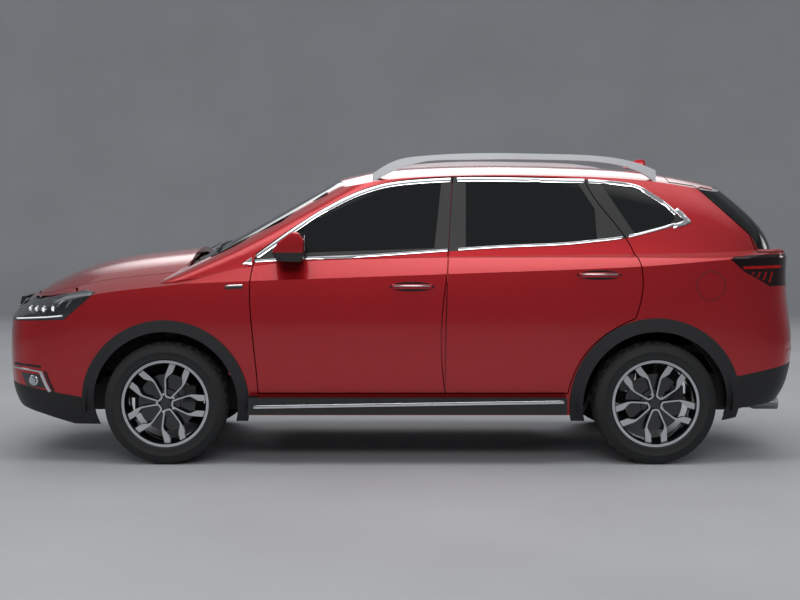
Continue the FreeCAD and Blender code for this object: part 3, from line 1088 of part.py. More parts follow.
# Rear axle: trailing arms, cross beam, hubs, calipers, springs up to the load floor.
half_axle = hub_parts("rear", REAR, "{track} / 2 + {disc_offset} - {running_gap} - {rear_arm_inner}")
half_axle.append(bound("Part::Box", "trailing_arm", x=REAR + " - {rear_arm_length}",
                       y="-{rear_arm_inner} - {arm_width}", z="{tyre_radius} - {arm_width} / 2",
                       Length="{rear_arm_length}", Width="{arm_width}", Height="{arm_width}"))
half_axle.append(bound("Part::Box", "beam", x=REAR + " - {beam_start}", y="-{rear_arm_inner} - {fit}",
                       z="{tyre_radius} - {arm_width} / 2", Length="{arm_width}",
                       Width="{rear_arm_inner} + {fit}", Height="{arm_width}"))
half_axle.append(bound("Part::Cylinder", "rear_spring", x=REAR, y="-{rear_arm_inner}", z="{tyre_radius}",
                       Radius="{spring_radius}", Height="{load_floor} - {floor_depth} - {fit} - {tyre_radius}"))
axle_left = joined("axle_left", *half_axle)
keep("rear_axle", joined("axle", axle_left, reflected("axle_right", axle_left)))

# Exhaust: pipe in the tunnel, silencer with two tailpipes, hangers to the floor.
BACK = "({front_overhang} + {wheelbase} + {rear_overhang}) / 2"
SILENCER = BACK + " - {silencer_end} - {silencer_length}"
system = [bound("Part::Cylinder", "pipe", x=FRONT + " + {subframe_length} / 2 + {running_gap}", z="{pipe_height}",
                turn=Rotation(ACROSS, 90), Radius="{pipe_radius}",
                Height=SILENCER + " - (" + FRONT + ") - {subframe_length} / 2 - {running_gap}"),
          bound("Part::Box", "silencer", x=SILENCER, y="-{silencer_width} / 2", z="{silencer_base}",
                Length="{silencer_length}", Width="{silencer_width}", Height="{silencer_height}"),
          bound("Part::Box", "hanger_rear", x=SILENCER + " + {silencer_length} / 2", y="-{hanger} / 2",
                z="{silencer_base}", Length="{hanger}", Width="{hanger}",
                Height="{load_floor} - {floor_depth} - {fit} - {silencer_base}"),
          bound("Part::Box", "hanger_front", x=FRONT + " + {wheelbase} / 2", y="-{hanger} / 2", z="{pipe_height}",
                Length="{hanger}", Width="{hanger}",
                Height="{floor_height} + {tunnel_height} - {fit} - {pipe_height}")]
for mark, side in (("left", "-1"), ("right", "1")):
    system.append(bound("Part::Cylinder", f"tip_{mark}", x=SILENCER + " + {silencer_length} / 2",
                        y=side + " * {tip_centre}", z="{pipe_height}", turn=Rotation(ACROSS, 90),
                        Radius="{pipe_radius}", Height="{silencer_end} + {silencer_length} / 2 - {tip_end}"))
keep("exhaust", joined("exhaust_system", *system))

# Steering wheel: rim, pad and three spokes.
WHEEL_TURN = Rotation(Vector(0, 0, 1), column_way)
rim = doc.addObject("Part::Torus", "grip")
follow(rim, Radius1="{wheel_rim}", Radius2="{wheel_grip}")
pad = bound("Part::Cylinder", "pad", z="-{wheel_pad_depth}", Radius="{wheel_pad}", Height="{wheel_pad_depth}")
cross = bound("Part::Box", "cross", x="-{wheel_grip} / 2", y="-{wheel_rim}", z="-{wheel_grip}",
              Length="{wheel_grip} * 2", Width="{wheel_rim} * 2", Height="{wheel_grip}")
stem = bound("Part::Box", "stem", x="0", y="-{wheel_grip}", z="-{wheel_grip}", Length="{wheel_rim}",
             Width="{wheel_grip} * 2", Height="{wheel_grip}")
hand_wheel = joined("hand_wheel", rim, pad, cross, stem)
doc.recompute()
steering = doc.addObject("Part::Feature", "steering_wheel")
steering.Shape = hand_wheel.Shape
steering.Placement = FreeCAD.Placement(wheel_centre, WHEEL_TURN)
keep("steering_wheel", steering)

doc.recompute()
for thing in doc.Objects:
    if "Invalid" in thing.State or "Error" in thing.State:
        raise RuntimeError(f"{thing.Name} did not compute: {thing.State}")
os.makedirs("parts", exist_ok=True)
for name, thing in nodes.items():
    shape = thing.Shape
    if shape.isNull() or not shape.isValid():
        raise RuntimeError(f"{name} has no sound shape")
    print(name, shape.ShapeType, len(shape.Solids))
    shape.exportStep(f"parts/{name}.step")
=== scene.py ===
# %% [markdown]
# A family crossover, dressed for its portrait
# The solids come packed from the CAD model and carry the true shape of the car: doors, wings,
# glass, wheels and seats, each on its own rigid body. This lesson gives them their finishes and
# adds the thin trim that a CAD model leaves out: bright mouldings, handles, lamp reflectors,
# tyre tread, wipers and the upholstery of the seats.

import math

import bmesh
import bpy
from mathutils import Matrix, Vector
from mathutils.bvhtree import BVHTree
from mathutils.kdtree import KDTree


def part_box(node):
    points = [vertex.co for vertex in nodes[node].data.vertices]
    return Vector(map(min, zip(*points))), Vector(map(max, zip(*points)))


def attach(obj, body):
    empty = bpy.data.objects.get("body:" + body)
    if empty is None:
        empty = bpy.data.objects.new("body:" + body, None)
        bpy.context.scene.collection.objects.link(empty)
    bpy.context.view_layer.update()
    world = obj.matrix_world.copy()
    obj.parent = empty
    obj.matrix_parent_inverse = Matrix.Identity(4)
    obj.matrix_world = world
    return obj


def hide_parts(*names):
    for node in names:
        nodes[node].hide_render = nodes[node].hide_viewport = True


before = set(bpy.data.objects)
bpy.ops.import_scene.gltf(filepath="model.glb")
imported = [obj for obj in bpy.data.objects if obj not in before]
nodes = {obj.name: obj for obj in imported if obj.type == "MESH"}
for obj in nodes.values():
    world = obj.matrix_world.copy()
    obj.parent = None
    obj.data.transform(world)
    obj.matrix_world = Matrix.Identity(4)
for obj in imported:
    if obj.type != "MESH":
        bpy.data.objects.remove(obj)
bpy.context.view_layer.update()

# %% Sizes of the car that the pieces below are built from
FRONT_AXLE = -1.310
REAR_AXLE = 1.390
HUB = 0.338
HALF_TRACK = 0.785
SIDES = {"left": -1, "right": 1}
ENDS = {"front": FRONT_AXLE, "rear": REAR_AXLE}

# %% [markdown]
# Colour first. A paint chart gives colours as the eye reads them, in sRGB hex, but the renderer
# mixes light and wants linear values, so one function turns the one into the other. A second
# small function adds a shader node with its settings and links, which keeps each material short
# enough to read as a recipe.


# %% Colours and shader nodes
def linear(code):
    """A linear colour from an sRGB hex code."""
    values = [int(code[i:i + 2], 16) / 255 for i in (1, 3, 5)]
    return [v / 12.92 if v <= 0.04045 else ((v + 0.055) / 1.055) ** 2.4 for v in values] + [1.0]


def add(material, kind, settings=None, **links):
    """Adds a node. A link is a value, or the output socket that feeds the input of that name."""
    node = material.node_tree.nodes.new(kind)
    for key, value in (settings or {}).items():
        setattr(node, key, value)
    for key, value in links.items():
        socket = node.inputs[int(key[4:])] if key.startswith("slot") else node.inputs[key.replace("_", " ")]
        if isinstance(value, bpy.types.NodeSocket):
            material.node_tree.links.new(value, socket)
        else:
            socket.default_value = value
    return node


def finish(name, colour, **values):
    """A material with one Principled shader. Returns the material and the shader node."""
    material = bpy.data.materials.new(name)
    material.use_nodes = True
    shader = material.node_tree.nodes["Principled BSDF"]
    shader.inputs["Base Color"].default_value = linear(colour)
    for key, value in values.items():
        shader.inputs[key.replace("_", " ")].default_value = value
    return material, shader


def join(material, **links):
    """Feeds sockets of a material's shader from other nodes."""
    shader = material.node_tree.nodes["Principled BSDF"]
    for key, output in links.items():
        material.node_tree.links.new(output, shader.inputs[key.replace("_", " ")])


def grain(material, size_mm, depth_mm, dark, light, detail=2.0, spread=0.08):
    """The grain of a moulded, cast or cut surface: a bump of its real size, with colour and gloss
    to match.
    """
    place = add(material, "ShaderNodeTexCoord")
    noise = add(material, "ShaderNodeTexNoise", Vector=place.outputs["Object"], Scale=1000 / size_mm,
                Detail=detail)
    broad = add(material, "ShaderNodeTexNoise", Vector=place.outputs["Object"], Scale=1000 / (size_mm * 60),
                Detail=3.0)
    bump = add(material, "ShaderNodeBump", Height=noise.outputs["Fac"], Distance=depth_mm / 1000,
               Strength=0.6)
    tint = add(material, "ShaderNodeMix", {"data_type": "RGBA"}, Factor=broad.outputs["Fac"])
    tint.inputs["A"].default_value = linear(dark)
    tint.inputs["B"].default_value = linear(light)
    shader = material.node_tree.nodes["Principled BSDF"]
    base = shader.inputs["Roughness"].default_value
    gloss = add(material, "ShaderNodeMapRange", Value=broad.outputs["Fac"])
    gloss.inputs["To Min"].default_value = base - spread
    gloss.inputs["To Max"].default_value = base + spread
    join(material, Normal=bump.outputs["Normal"], Base_Color=tint.outputs["Result"],
         Roughness=gloss.outputs["Result"])


# %% [markdown]
# The paint is a candy red in three layers: a silver ground coat with aluminium flakes, a
# transparent red over it, and a hard clear coat. Half-metallic red with a sharp clear coat gives
# the same look: deep where it turns away from the light and bright along the shoulder. Real flakes
# are a tenth of a millimetre; they are drawn at two millimetres, so that a close view shows them.
# Doors and bumpers change from paint to black plastic along a straight edge, so their materials
# take a list of planes, and the black shows where a point is inside all of them.


# %% Body paint, plain and with black areas
def inside_planes(material, planes):
    """1 where Object coordinates pass every plane (a, b, c, d): a x + b y + c z above d. Else 0."""
    place = add(material, "ShaderNodeTexCoord")
    both = None
    for a, b, c, d in planes:
        height = add(material, "ShaderNodeVectorMath", {"operation": "DOT_PRODUCT"},
                     slot0=place.outputs["Object"],
                     slot1=(a, b, c))
        over = add(material, "ShaderNodeMath", {"operation": "GREATER_THAN"}, slot0=height.outputs["Value"],
                   slot1=d)
        if both is not None:
            over = add(material, "ShaderNodeMath", {"operation": "MULTIPLY"}, slot0=over.outputs[0],
                       slot1=both)
        both = over.outputs[0]
    return both


def inside_arch(material, axle, reach):
    """1 nearer than reach to an axle seen from the side, where a wing turns in and is under-sealed.
    Else 0.
    """
    place = add(material, "ShaderNodeTexCoord")
    flat = add(material, "ShaderNodeVectorMath", {"operation": "MULTIPLY"}, slot0=place.outputs["Object"],
               slot1=(1, 0, 1))
    gap = add(material, "ShaderNodeVectorMath", {"operation": "DISTANCE"}, slot0=flat.outputs["Vector"],
              slot1=(axle, 0, HUB))
    return add(material, "ShaderNodeMath", {"operation": "LESS_THAN"}, slot0=gap.outputs["Value"],
               slot1=reach).outputs[0]


def lined_faces(material, lining):
    """1 on faces that look into the car, which carry a cabin lining instead of paint. Else 0."""
    place = add(material, "ShaderNodeTexCoord")
    facing = add(material, "ShaderNodeSeparateXYZ", Vector=place.outputs["Normal"])
    if lining == "roof":
        inward, limit = facing.outputs["Z"], -0.3
    elif lining == "tail":
        inward, limit = facing.outputs["X"], -0.35
    else:
        where = add(material, "ShaderNodeSeparateXYZ", Vector=place.outputs["Object"])
        sides = add(material, "ShaderNodeMath", {"operation": "MULTIPLY"}, slot0=facing.outputs["Y"],
                    slot1=where.outputs["Y"])
        inward, limit = sides.outputs[0], -0.12
    return add(material, "ShaderNodeMath", {"operation": "LESS_THAN"}, slot0=inward, slot1=limit).outputs[0]


def body_paint(name, black_inside=None, black_gloss=0.42, arch=None, lining=None):
    """Candy red paint, with black plastic inside the given planes, near an axle or on inner faces."""
    material, _ = finish(name, "#A80611", Coat_Roughness=0.03, Coat_IOR=1.5)
    place = add(material, "ShaderNodeTexCoord")
    flakes = add(material, "ShaderNodeTexVoronoi", Vector=place.outputs["Object"], Scale=1000 / 2.0)
    spread = add(material, "ShaderNodeSeparateColor", Color=flakes.outputs["Color"])
    red = add(material, "ShaderNodeMix", {"data_type": "RGBA"}, Factor=spread.outputs[0])
    red.inputs["A"].default_value = linear("#A00512")
    red.inputs["B"].default_value = linear("#BC0818")
    peel = add(material, "ShaderNodeTexNoise", Vector=place.outputs["Object"], Scale=1000 / 6.0, Detail=1.0)
    ripple = add(material, "ShaderNodeBump", Height=peel.outputs["Fac"], Distance=0.00003, Strength=0.25)
    if black_inside is None and arch is None and lining is None:
        shader = material.node_tree.nodes["Principled BSDF"]
        shader.inputs["Metallic"].default_value = 0.70
        shader.inputs["Roughness"].default_value = 0.33
        shader.inputs["Coat Weight"].default_value = 1.0
        join(material, Base_Color=red.outputs["Result"], Normal=ripple.outputs["Normal"])
        return material
    masks = [inside_planes(material, black_inside)] if black_inside else []
    masks += [inside_arch(material, *arch)] if arch else []
    masks += [lined_faces(material, lining)] if lining else []
    black = masks[0]
    for mask in masks[1:]:
        black = add(material, "ShaderNodeMath", {"operation": "MAXIMUM"}, slot0=black, slot1=mask).outputs[0]
    colour = add(material, "ShaderNodeMix", {"data_type": "RGBA"}, Factor=black)
    material.node_tree.links.new(red.outputs["Result"], colour.inputs["A"])
    colour.inputs["B"].default_value = linear("#0E0F10")
    levels = {}
    for socket, painted_value, black_value in (("Metallic", 0.70, 0.0), ("Roughness", 0.33, black_gloss),
                                               ("Coat_Weight", 1.0, 0.12)):
        level = add(material, "ShaderNodeMapRange", Value=black)
        level.inputs["To Min"].default_value = painted_value
        level.inputs["To Max"].default_value = black_value
        levels[socket] = level.outputs["Result"]
    join(material, Base_Color=colour.outputs["Result"], Normal=ripple.outputs["Normal"], **levels)
    return material


def above(x0, z0, slope):
    """The plane whose inside lies above a sloping line seen from the side."""
    return (-slope, 0, 1, z0 - slope * x0)


def below(x0, z0, slope):
    """The plane whose inside lies below a sloping line seen from the side."""
    return (slope, 0, -1, slope * x0 - z0)


paint = body_paint("candy red paint")
door_paint = body_paint("candy red door with black frame",
                        [above(-0.775, 1.117, 0.055), above(0.246, 1.175, 0.060), above(0.860, 1.208, 0.100)],
                        lining="side")
quarter_paint = body_paint("candy red quarter with black pillar",
                           [above(1.227, 1.247, 0.256), below(1.052, 1.572, -0.107),
                            below(1.286, 1.547, -0.531),
                            below(1.399, 1.487, -0.867)], arch=(REAR_AXLE, 0.462), lining="side")
front_bumper_paint = body_paint("candy red bumper with black lip", [below(-1.774, 0.372, -0.180)], 0.6,
                                arch=(FRONT_AXLE, 0.448))
rear_bumper_paint = body_paint("candy red bumper with black valance", [below(1.75, 0.470, 0.200)], 0.6,
                               arch=(REAR_AXLE, 0.470))
mirror_paint = body_paint("candy red mirror cap on black base", [(0, 0, -1, -1.172)], 0.5)
wing_paint = body_paint("candy red wing with black foot", [(0, 0, -1, -0.380)], 0.6, arch=(FRONT_AXLE, 0.448))
frame_paint = body_paint("candy red side frame with black arch", None, 0.6, arch=(REAR_AXLE, 0.455),
                         lining="side")
roof_paint = body_paint("candy red roof with headliner", None, 0.85, lining="roof")
tail_paint = body_paint("candy red tailgate with inner trim", None, 0.6, lining="tail")

# %% [markdown]
# The other finishes are everyday materials of a car: chrome plate, anodised rails, grained plastic,
# rubber, glass with a dark tint, and the cloth and leather of the cabin. Each starts from its usual
# roughness and gets the grain that its process leaves.

# %% Metals, plastics, rubber and glass
chrome, _ = finish("chrome plating", "#D9DBDE", Metallic=1.0, Roughness=0.07)
grain(chrome, 40, 0.004, "#D4D6D9", "#DEE0E3", spread=0.03)
rail_metal, _ = finish("anodised aluminium", "#DADCDE", Metallic=0.85, Roughness=0.40)
grain(rail_metal, 9, 0.004, "#D6D8DB", "#E2E4E6", spread=0.04)
gloss_black, _ = finish("piano black lacquer", "#08090A", Roughness=0.14, Coat_Weight=1.0,
                        Coat_Roughness=0.03)
grain(gloss_black, 30, 0.004, "#07080A", "#0C0D0F", spread=0.03)
satin_black, _ = finish("satin black enamel", "#121314", Roughness=0.40)
grain(satin_black, 1.5, 0.03, "#0E0F10", "#161718", spread=0.05)
trim, _ = finish("grained polypropylene", "#17181A", Roughness=0.62)
grain(trim, 1.6, 0.14, "#131416", "#1D1E20")
rubber, _ = finish("tyre rubber", "#151617", Roughness=0.74)
grain(rubber, 2.5, 0.10, "#101112", "#1B1C1D")
steel, _ = finish("turned brake steel", "#8E9193", Metallic=1.0, Roughness=0.34)
grain(steel, 1.2, 0.05, "#7E8184", "#999C9E")
iron, _ = finish("cast iron", "#2B2C2E", Roughness=0.68, Metallic=0.3)
grain(iron, 3.0, 0.25, "#232425", "#343536")
chassis, _ = finish("chassis enamel", "#151618", Roughness=0.58)
grain(chassis, 4.0, 0.15, "#111214", "#1E1F21")
leather, _ = finish("seat leather", "#1C1A1A", Roughness=0.50, Coat_Weight=0.08)
grain(leather, 2.4, 0.20, "#161414", "#242121", detail=3.0)
bottle_white, _ = finish("milky bottle plastic", "#D8DADB", Roughness=0.35)
grain(bottle_white, 8, 0.01, "#D2D4D5", "#DEE0E1", spread=0.05)
screen_face, _ = finish("display glass", "#05070A", Roughness=0.08, Coat_Weight=1.0)
grain(screen_face, 25, 0.003, "#040609", "#080B10", spread=0.03)
cabin_trim, _ = finish("soft dashboard skin", "#161617", Roughness=0.62)
grain(cabin_trim, 1.3, 0.12, "#121213", "#1C1C1D")
silver, _ = finish("vacuum-coated reflector", "#C8CCD0", Metallic=1.0, Roughness=0.10)
grain(silver, 12, 0.02, "#BFC3C7", "#D2D6DA", spread=0.03)
lamp_dark, _ = finish("lamp housing", "#0B0C0D", Roughness=0.30)
grain(lamp_dark, 1.0, 0.02, "#090A0B", "#101112")


def tinted(name, colour, streak, **values):
    """Glass or clear plastic: smooth, with the faint film that every car wears."""
    material, _ = finish(name, colour, **values)
    place = add(material, "ShaderNodeTexCoord")
    film = add(material, "ShaderNodeTexNoise", Vector=place.outputs["Object"], Scale=1000 / 90, Detail=4.0)
    gloss = add(material, "ShaderNodeMapRange", Value=film.outputs["Fac"])
    gloss.inputs["To Min"].default_value = 0.0
    gloss.inputs["To Max"].default_value = streak
    join(material, Roughness=gloss.outputs["Result"])
    return material


glass = tinted("privacy glass", "#0A0C0E", 0.03, IOR=1.5, Transmission_Weight=0.30)
screen_glass = tinted("laminated glass", "#5A6668", 0.02, IOR=1.5, Transmission_Weight=0.85)
lens = tinted("clear polycarbonate", "#F2F5F7", 0.03, IOR=1.58, Transmission_Weight=1.0)
tail_lens = tinted("smoked red lens", "#93303A", 0.04, IOR=1.49, Transmission_Weight=1.0)
day_light, _ = finish("white light guide", "#F2F4F6", Roughness=0.15, Emission_Strength=0.9)
day_light.node_tree.nodes["Principled BSDF"].inputs["Emission Color"].default_value = linear("#FFFFFF")
tail_light, _ = finish("red light guide", "#D4101C", Roughness=0.2, Emission_Strength=1.1)
tail_light.node_tree.nodes["Principled BSDF"].inputs["Emission Color"].default_value = linear("#D01018")
reflector, _ = finish("red prism reflector", "#8E0F16", Roughness=0.14, Coat_Weight=1.0)
grain(reflector, 3, 0.06, "#760A11", "#A2151D", spread=0.04)

# %% [markdown]
# The alloy wheels are the showpiece. They are cast, painted gloss black all over, and then put on a
# lathe that faces the fronts of the spokes and the rim bright. So one material shows bare machined
# metal where a surface looks outward and lies in the turned plane, and black everywhere else. The
# lathe leaves fine rings round the axle; a fine noise bump three millimetres across stands in for them, so
# that it shows.

# %% Two-tone alloy
alloy, _ = finish("diamond-turned alloy", "#101113", Coat_Weight=0.6, Coat_Roughness=0.05)
alloy_place = add(alloy, "ShaderNodeTexCoord")
alloy_parts = add(alloy, "ShaderNodeSeparateXYZ", Vector=alloy_place.outputs["Object"])
alloy_out = add(alloy, "ShaderNodeMath", {"operation": "ABSOLUTE"}, slot0=alloy_parts.outputs["Y"])
alloy_reach = add(alloy, "ShaderNodeMath", {"operation": "GREATER_THAN"}, slot0=alloy_out.outputs[0],
                  slot1=0.8664)
alloy_facing = add(alloy, "ShaderNodeSeparateXYZ", Vector=alloy_place.outputs["Normal"])
alloy_front = add(alloy, "ShaderNodeMath", {"operation": "ABSOLUTE"}, slot0=alloy_facing.outputs["Y"])
alloy_flat = add(alloy, "ShaderNodeMath", {"operation": "GREATER_THAN"}, slot0=alloy_front.outputs[0],
                 slot1=0.55)
alloy_cut = add(alloy, "ShaderNodeMath", {"operation": "MULTIPLY"}, slot0=alloy_reach.outputs[0],
                slot1=alloy_flat.outputs[0])
alloy_colour = add(alloy, "ShaderNodeMix", {"data_type": "RGBA"}, Factor=alloy_cut.outputs[0])
alloy_colour.inputs["A"].default_value = linear("#0D0E10")
alloy_colour.inputs["B"].default_value = linear("#C9CBCE")
alloy_gloss = add(alloy, "ShaderNodeMapRange", Value=alloy_cut.outputs[0])
alloy_gloss.inputs["To Min"].default_value = 0.16
alloy_gloss.inputs["To Max"].default_value = 0.24
alloy_rings = add(alloy, "ShaderNodeTexNoise", Vector=alloy_place.outputs["Object"], Scale=1000 / 3.0,
                  Detail=2.0)
alloy_bump = add(alloy, "ShaderNodeBump", Height=alloy_rings.outputs["Fac"], Distance=0.00004, Strength=0.5)
join(alloy, Base_Color=alloy_colour.outputs["Result"], Metallic=alloy_cut.outputs[0],
     Roughness=alloy_gloss.outputs["Result"], Normal=alloy_bump.outputs["Normal"])

# %% [markdown]
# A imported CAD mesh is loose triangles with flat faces. The body would look faceted, so each node
# gets a modifier that leaves its mesh alone: it welds the corners for the render and shades smooth
# across every edge that is nearly flat, which keeps panel edges crisp.


# %% Smooth shading that leaves the CAD meshes alone
def shading_group(name, sharp_degrees):
    group = bpy.data.node_groups.new(name, "GeometryNodeTree")
    group.interface.new_socket("Geometry", in_out="INPUT", socket_type="NodeSocketGeometry")
    group.interface.new_socket("Geometry", in_out="OUTPUT", socket_type="NodeSocketGeometry")
    start = group.nodes.new("NodeGroupInput")
    end = group.nodes.new("NodeGroupOutput")
    weld = group.nodes.new("GeometryNodeMergeByDistance")
    weld.inputs["Distance"].default_value = 0.00002
    angle = group.nodes.new("GeometryNodeInputMeshEdgeAngle")
    compare = group.nodes.new("FunctionNodeCompare")
    compare.operation = "LESS_THAN"
    compare.inputs[1].default_value = math.radians(sharp_degrees)
    faces = group.nodes.new("GeometryNodeSetShadeSmooth")
    edges = group.nodes.new("GeometryNodeSetShadeSmooth")
    edges.domain = "EDGE"
    link = group.links.new
    link(start.outputs["Geometry"], weld.inputs["Geometry"])
    link(weld.outputs["Geometry"], faces.inputs["Geometry"])
    link(faces.outputs["Geometry"], edges.inputs["Geometry"])
    link(angle.outputs["Unsigned Angle"], compare.inputs[0])
    link(compare.outputs["Result"], edges.inputs["Shade Smooth"])
    link(edges.outputs["Geometry"], end.inputs["Geometry"])
    return group


smooth_sheet = shading_group("smooth sheet metal", 14)
smooth_round = shading_group("smooth turned parts", 32)

# %% Every CAD node and its finish
finishes = {
    "bonnet": paint, "roof_panel": roof_paint, "tailgate": tail_paint, "front_bumper": front_bumper_paint,
    "rear_bumper": rear_bumper_paint, "windscreen": screen_glass, "tailgate_glass": glass,
    "quarter_windows": glass, "tail_lamps": tail_lens, "tailgate_lamps": tail_lens, "headlamps": lamp_dark,
    "grille": satin_black, "bulkhead": chassis, "floor_pan": chassis, "front_inner": chassis,
    "front_subframe": chassis, "engine_block": iron, "rear_axle": chassis, "exhaust": steel,
    "arch_mouldings_front": trim, "arch_mouldings_rear": trim, "side_steps": trim, "roof_rails": rail_metal,
    "dashboard": cabin_trim, "seat_rear": cabin_trim, "steering_wheel": cabin_trim,
}
for side in SIDES:
    finishes[f"side_frame_{side}"] = frame_paint
    finishes[f"wing_{side}"] = wing_paint
    finishes[f"quarter_panel_{side}"] = quarter_paint
    finishes[f"mirror_{side}"] = mirror_paint
    finishes[f"seat_front_{side}"] = cabin_trim
    finishes[f"knuckle_front_{side}"] = iron
    for end in ENDS:
        finishes[f"door_{end}_{side}"] = door_paint
        finishes[f"glass_{end}_{side}"] = glass
        finishes[f"tyre_{end}_{side}"] = rubber
        finishes[f"wheel_{end}_{side}"] = alloy
round_nodes = ("windscreen", "wheel", "knuckle", "steering", "exhaust", "roof_rails", "mirror",
               "front_subframe")
for name, material in finishes.items():
    thing = nodes[name]
    thing.data.materials.clear()
    thing.data.materials.append(material)
    modifier = thing.modifiers.new("smooth", "NODES")
    modifier.node_group = smooth_round if name.startswith(round_nodes) else smooth_sheet
print("dressed", len(finishes), "of", len(nodes), "nodes")

# %% [markdown]
# New pieces start as a bmesh. Most trim on a car's side is a narrow strip that follows the skin, so
# the helpers draw a smooth line seen from the side, widen it to a band, lay the band on the CAD
# surface by casting a ray at it from the side, and then give it thickness and soft edges. A piece
# is made once on the left and mirrored to the right, and each half rides on its own body.


# %% Lines and bands
def smooth_line(points, step=0.03):
    """A smooth line through given points (x, z), with a point at least every step."""
    line = []
    for i in range(len(points) - 1):
        a, b = Vector(points[i]), Vector(points[i + 1])
        before = Vector(points[i - 1]) if i else a * 2 - b
        after = Vector(points[i + 2]) if i + 2 < len(points) else b * 2 - a
        count = max(1, math.ceil((b - a).length / step))
        for k in range(count):
            t = k / count
            line.append(0.5 * (2 * a + (b - before) * t + (2 * before - 5 * a + 4 * b - after) * t ** 2
                               + (3 * a - before - 3 * b + after) * t ** 3))
    line.append(Vector(points[-1]))
    return line


def beside(line, width):
    """The line moved sideways by a width, to the left of its own direction, with mitred corners."""
    moved = []
    for i, point in enumerate(line):
        one = (point - line[i - 1]).normalized() if i else (line[1] - point).normalized()
        two = (line[i + 1] - point).normalized() if i + 1 < len(line) else one
        side = Vector((-(one.y + two.y), one.x + two.x)).normalized()
        moved.append(point + side * (width / max(0.4, side.dot(Vector((-one.y, one.x))))))
    return moved


def band(line, width, rows=1):
    """A flat strip in the X Z plane from a line to the line beside it."""
    bm = bmesh.new()
    verts = [bm.verts.new((p.x, 0, p.y)) for p in line]
    edges = [bm.edges.new(pair) for pair in zip(verts, verts[1:])]
    for row in range(rows):
        place = {tuple(v.co): i for i, v in enumerate(verts)}
        grown = bmesh.ops.extrude_edge_only(bm, edges=edges)["geom"]
        fresh = {place[tuple(v.co)]: v for v in grown if isinstance(v, bmesh.types.BMVert)}
        verts = [fresh[i] for i in range(len(line))]
        edges = [e for e in grown if isinstance(e,
                                                bmesh.types.BMEdge) and all(v in set(verts) for v in e.verts)]
        for vert, point in zip(verts, beside(line, width * (row + 1) / rows)):
            vert.co = (point.x, 0, point.y)
    return bm


def panel(outline, step=0.03):
    """A flat panel in the X Z plane inside an outline, cut into a grid so that it can follow a curve."""
    bm = bmesh.new()
    bm.faces.new([bm.verts.new((p[0], 0, p[1])) for p in outline])
    for axis in (0, 2):
        places = sorted(v.co[axis] for v in bm.verts)
        place = places[0] + step
        while place < places[-1] - step / 3:
            spot = [place if i == axis else 0 for i in range(3)]
            normal = [1 if i == axis else 0 for i in range(3)]
            bmesh.ops.bisect_plane(bm, geom=bm.verts[:] + bm.edges[:] + bm.faces[:], plane_co=spot,
                                   plane_no=normal)
            place += step
    return bm


# %% Laying a piece on the CAD surface
def surface(*names):
    """The meshes of some CAD nodes as one tree that rays can be cast at."""
    verts, faces = [], []
    for name in names:
        mesh = nodes[name].data
        faces += [[len(verts) + i for i in p.vertices] for p in mesh.polygons]
        verts += [v.co.copy() for v in mesh.vertices]
    return BVHTree.FromPolygons(verts, faces)


def lay(bm, tree, lift=0.001, way=(0, 1, 0), start=2.6, feel=0.0):
    """Moves each point along a direction until it rests on the surface, less a lift (a number or a
    function of the point).

    With feel, it also rests on what it meets that far to either side, which bridges shut lines.
    """
    way = Vector(way).normalized()
    sides = [way.orthogonal().normalized() * feel,
             way.orthogonal().normalized().cross(way) * feel] if feel else []
    for v in bm.verts:
        flat = v.co - way * v.co.dot(way)
        spots = [flat] + [flat + s * d for s in sides for d in (-1, 1)]
        hits = [tree.ray_cast(spot - way * start, way)[0] for spot in spots]
        depths = [hit.dot(way) for hit in hits if hit is not None]
        depth = min(depths) if depths else tree.find_nearest(flat - way * 0.8)[0].dot(way)
        raised = lift(v.co) if callable(lift) else lift
        v.co = flat + way * (depth - raised)


def thicken(bm, push):
    """Gives a sheet its thickness: a second skin, moved by a vector and joined round the rim."""
    grown = bmesh.ops.extrude_face_region(bm, geom=bm.faces[:])["geom"]
    bmesh.ops.translate(bm, vec=push, verts=[v for v in grown if isinstance(v, bmesh.types.BMVert)])


def soften(bm, width, segments=2, angle=45):
    """Rounds every edge that turns by more than an angle."""
    bmesh.ops.remove_doubles(bm, verts=bm.verts, dist=0.00002)
    bmesh.ops.recalc_face_normals(bm, faces=bm.faces)
    edges = [e for e in bm.edges if len(e.link_faces) == 2 and e.calc_face_angle(0) > math.radians(angle)]
    bmesh.ops.bevel(bm, geom=edges, offset=width, offset_type="OFFSET", segments=segments, profile=0.5,
                    affect="EDGES", material=-1, clamp_overlap=True)


def piece(name, bm, body, material, smooth=35):
    """Makes a bmesh a finished object that rides on a body."""
    bmesh.ops.remove_doubles(bm, verts=bm.verts, dist=0.00001)
    bmesh.ops.recalc_face_normals(bm, faces=bm.faces)
    for edge in bm.edges:
        edge.smooth = len(edge.link_faces) == 2 and edge.calc_face_angle(0) < math.radians(smooth)
    for face in bm.faces:
        face.smooth = True
    mesh = bpy.data.meshes.new(name)
    bm.to_mesh(mesh)
    bm.free()
    mesh.materials.append(material)
    thing = bpy.data.objects.new(name, mesh)
    bpy.context.scene.collection.objects.link(thing)
    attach(thing, body)
    return thing


def both_sides(name, bm, body, material, smooth=35):
    """A piece made on the left, and its mirror image on the right."""
    made = []
    for side, sign in SIDES.items():
        half = bm.copy()
        bmesh.ops.scale(half, vec=(1, -sign, 1), verts=half.verts)
        made.append(piece(f"{name}_{side}", half, body.format(side=side), material, smooth))
    bm.free()
    return made


skins = {
    "door_front": surface("door_front_left", "side_frame_left"),
    "door_rear": surface("door_rear_left", "side_frame_left"),
    "quarter": surface("quarter_panel_left", "quarter_windows"),
         "wing": surface("wing_left", "side_frame_left"),
    "step": surface("side_steps"),
}
print("skins ready:", ", ".join(skins))

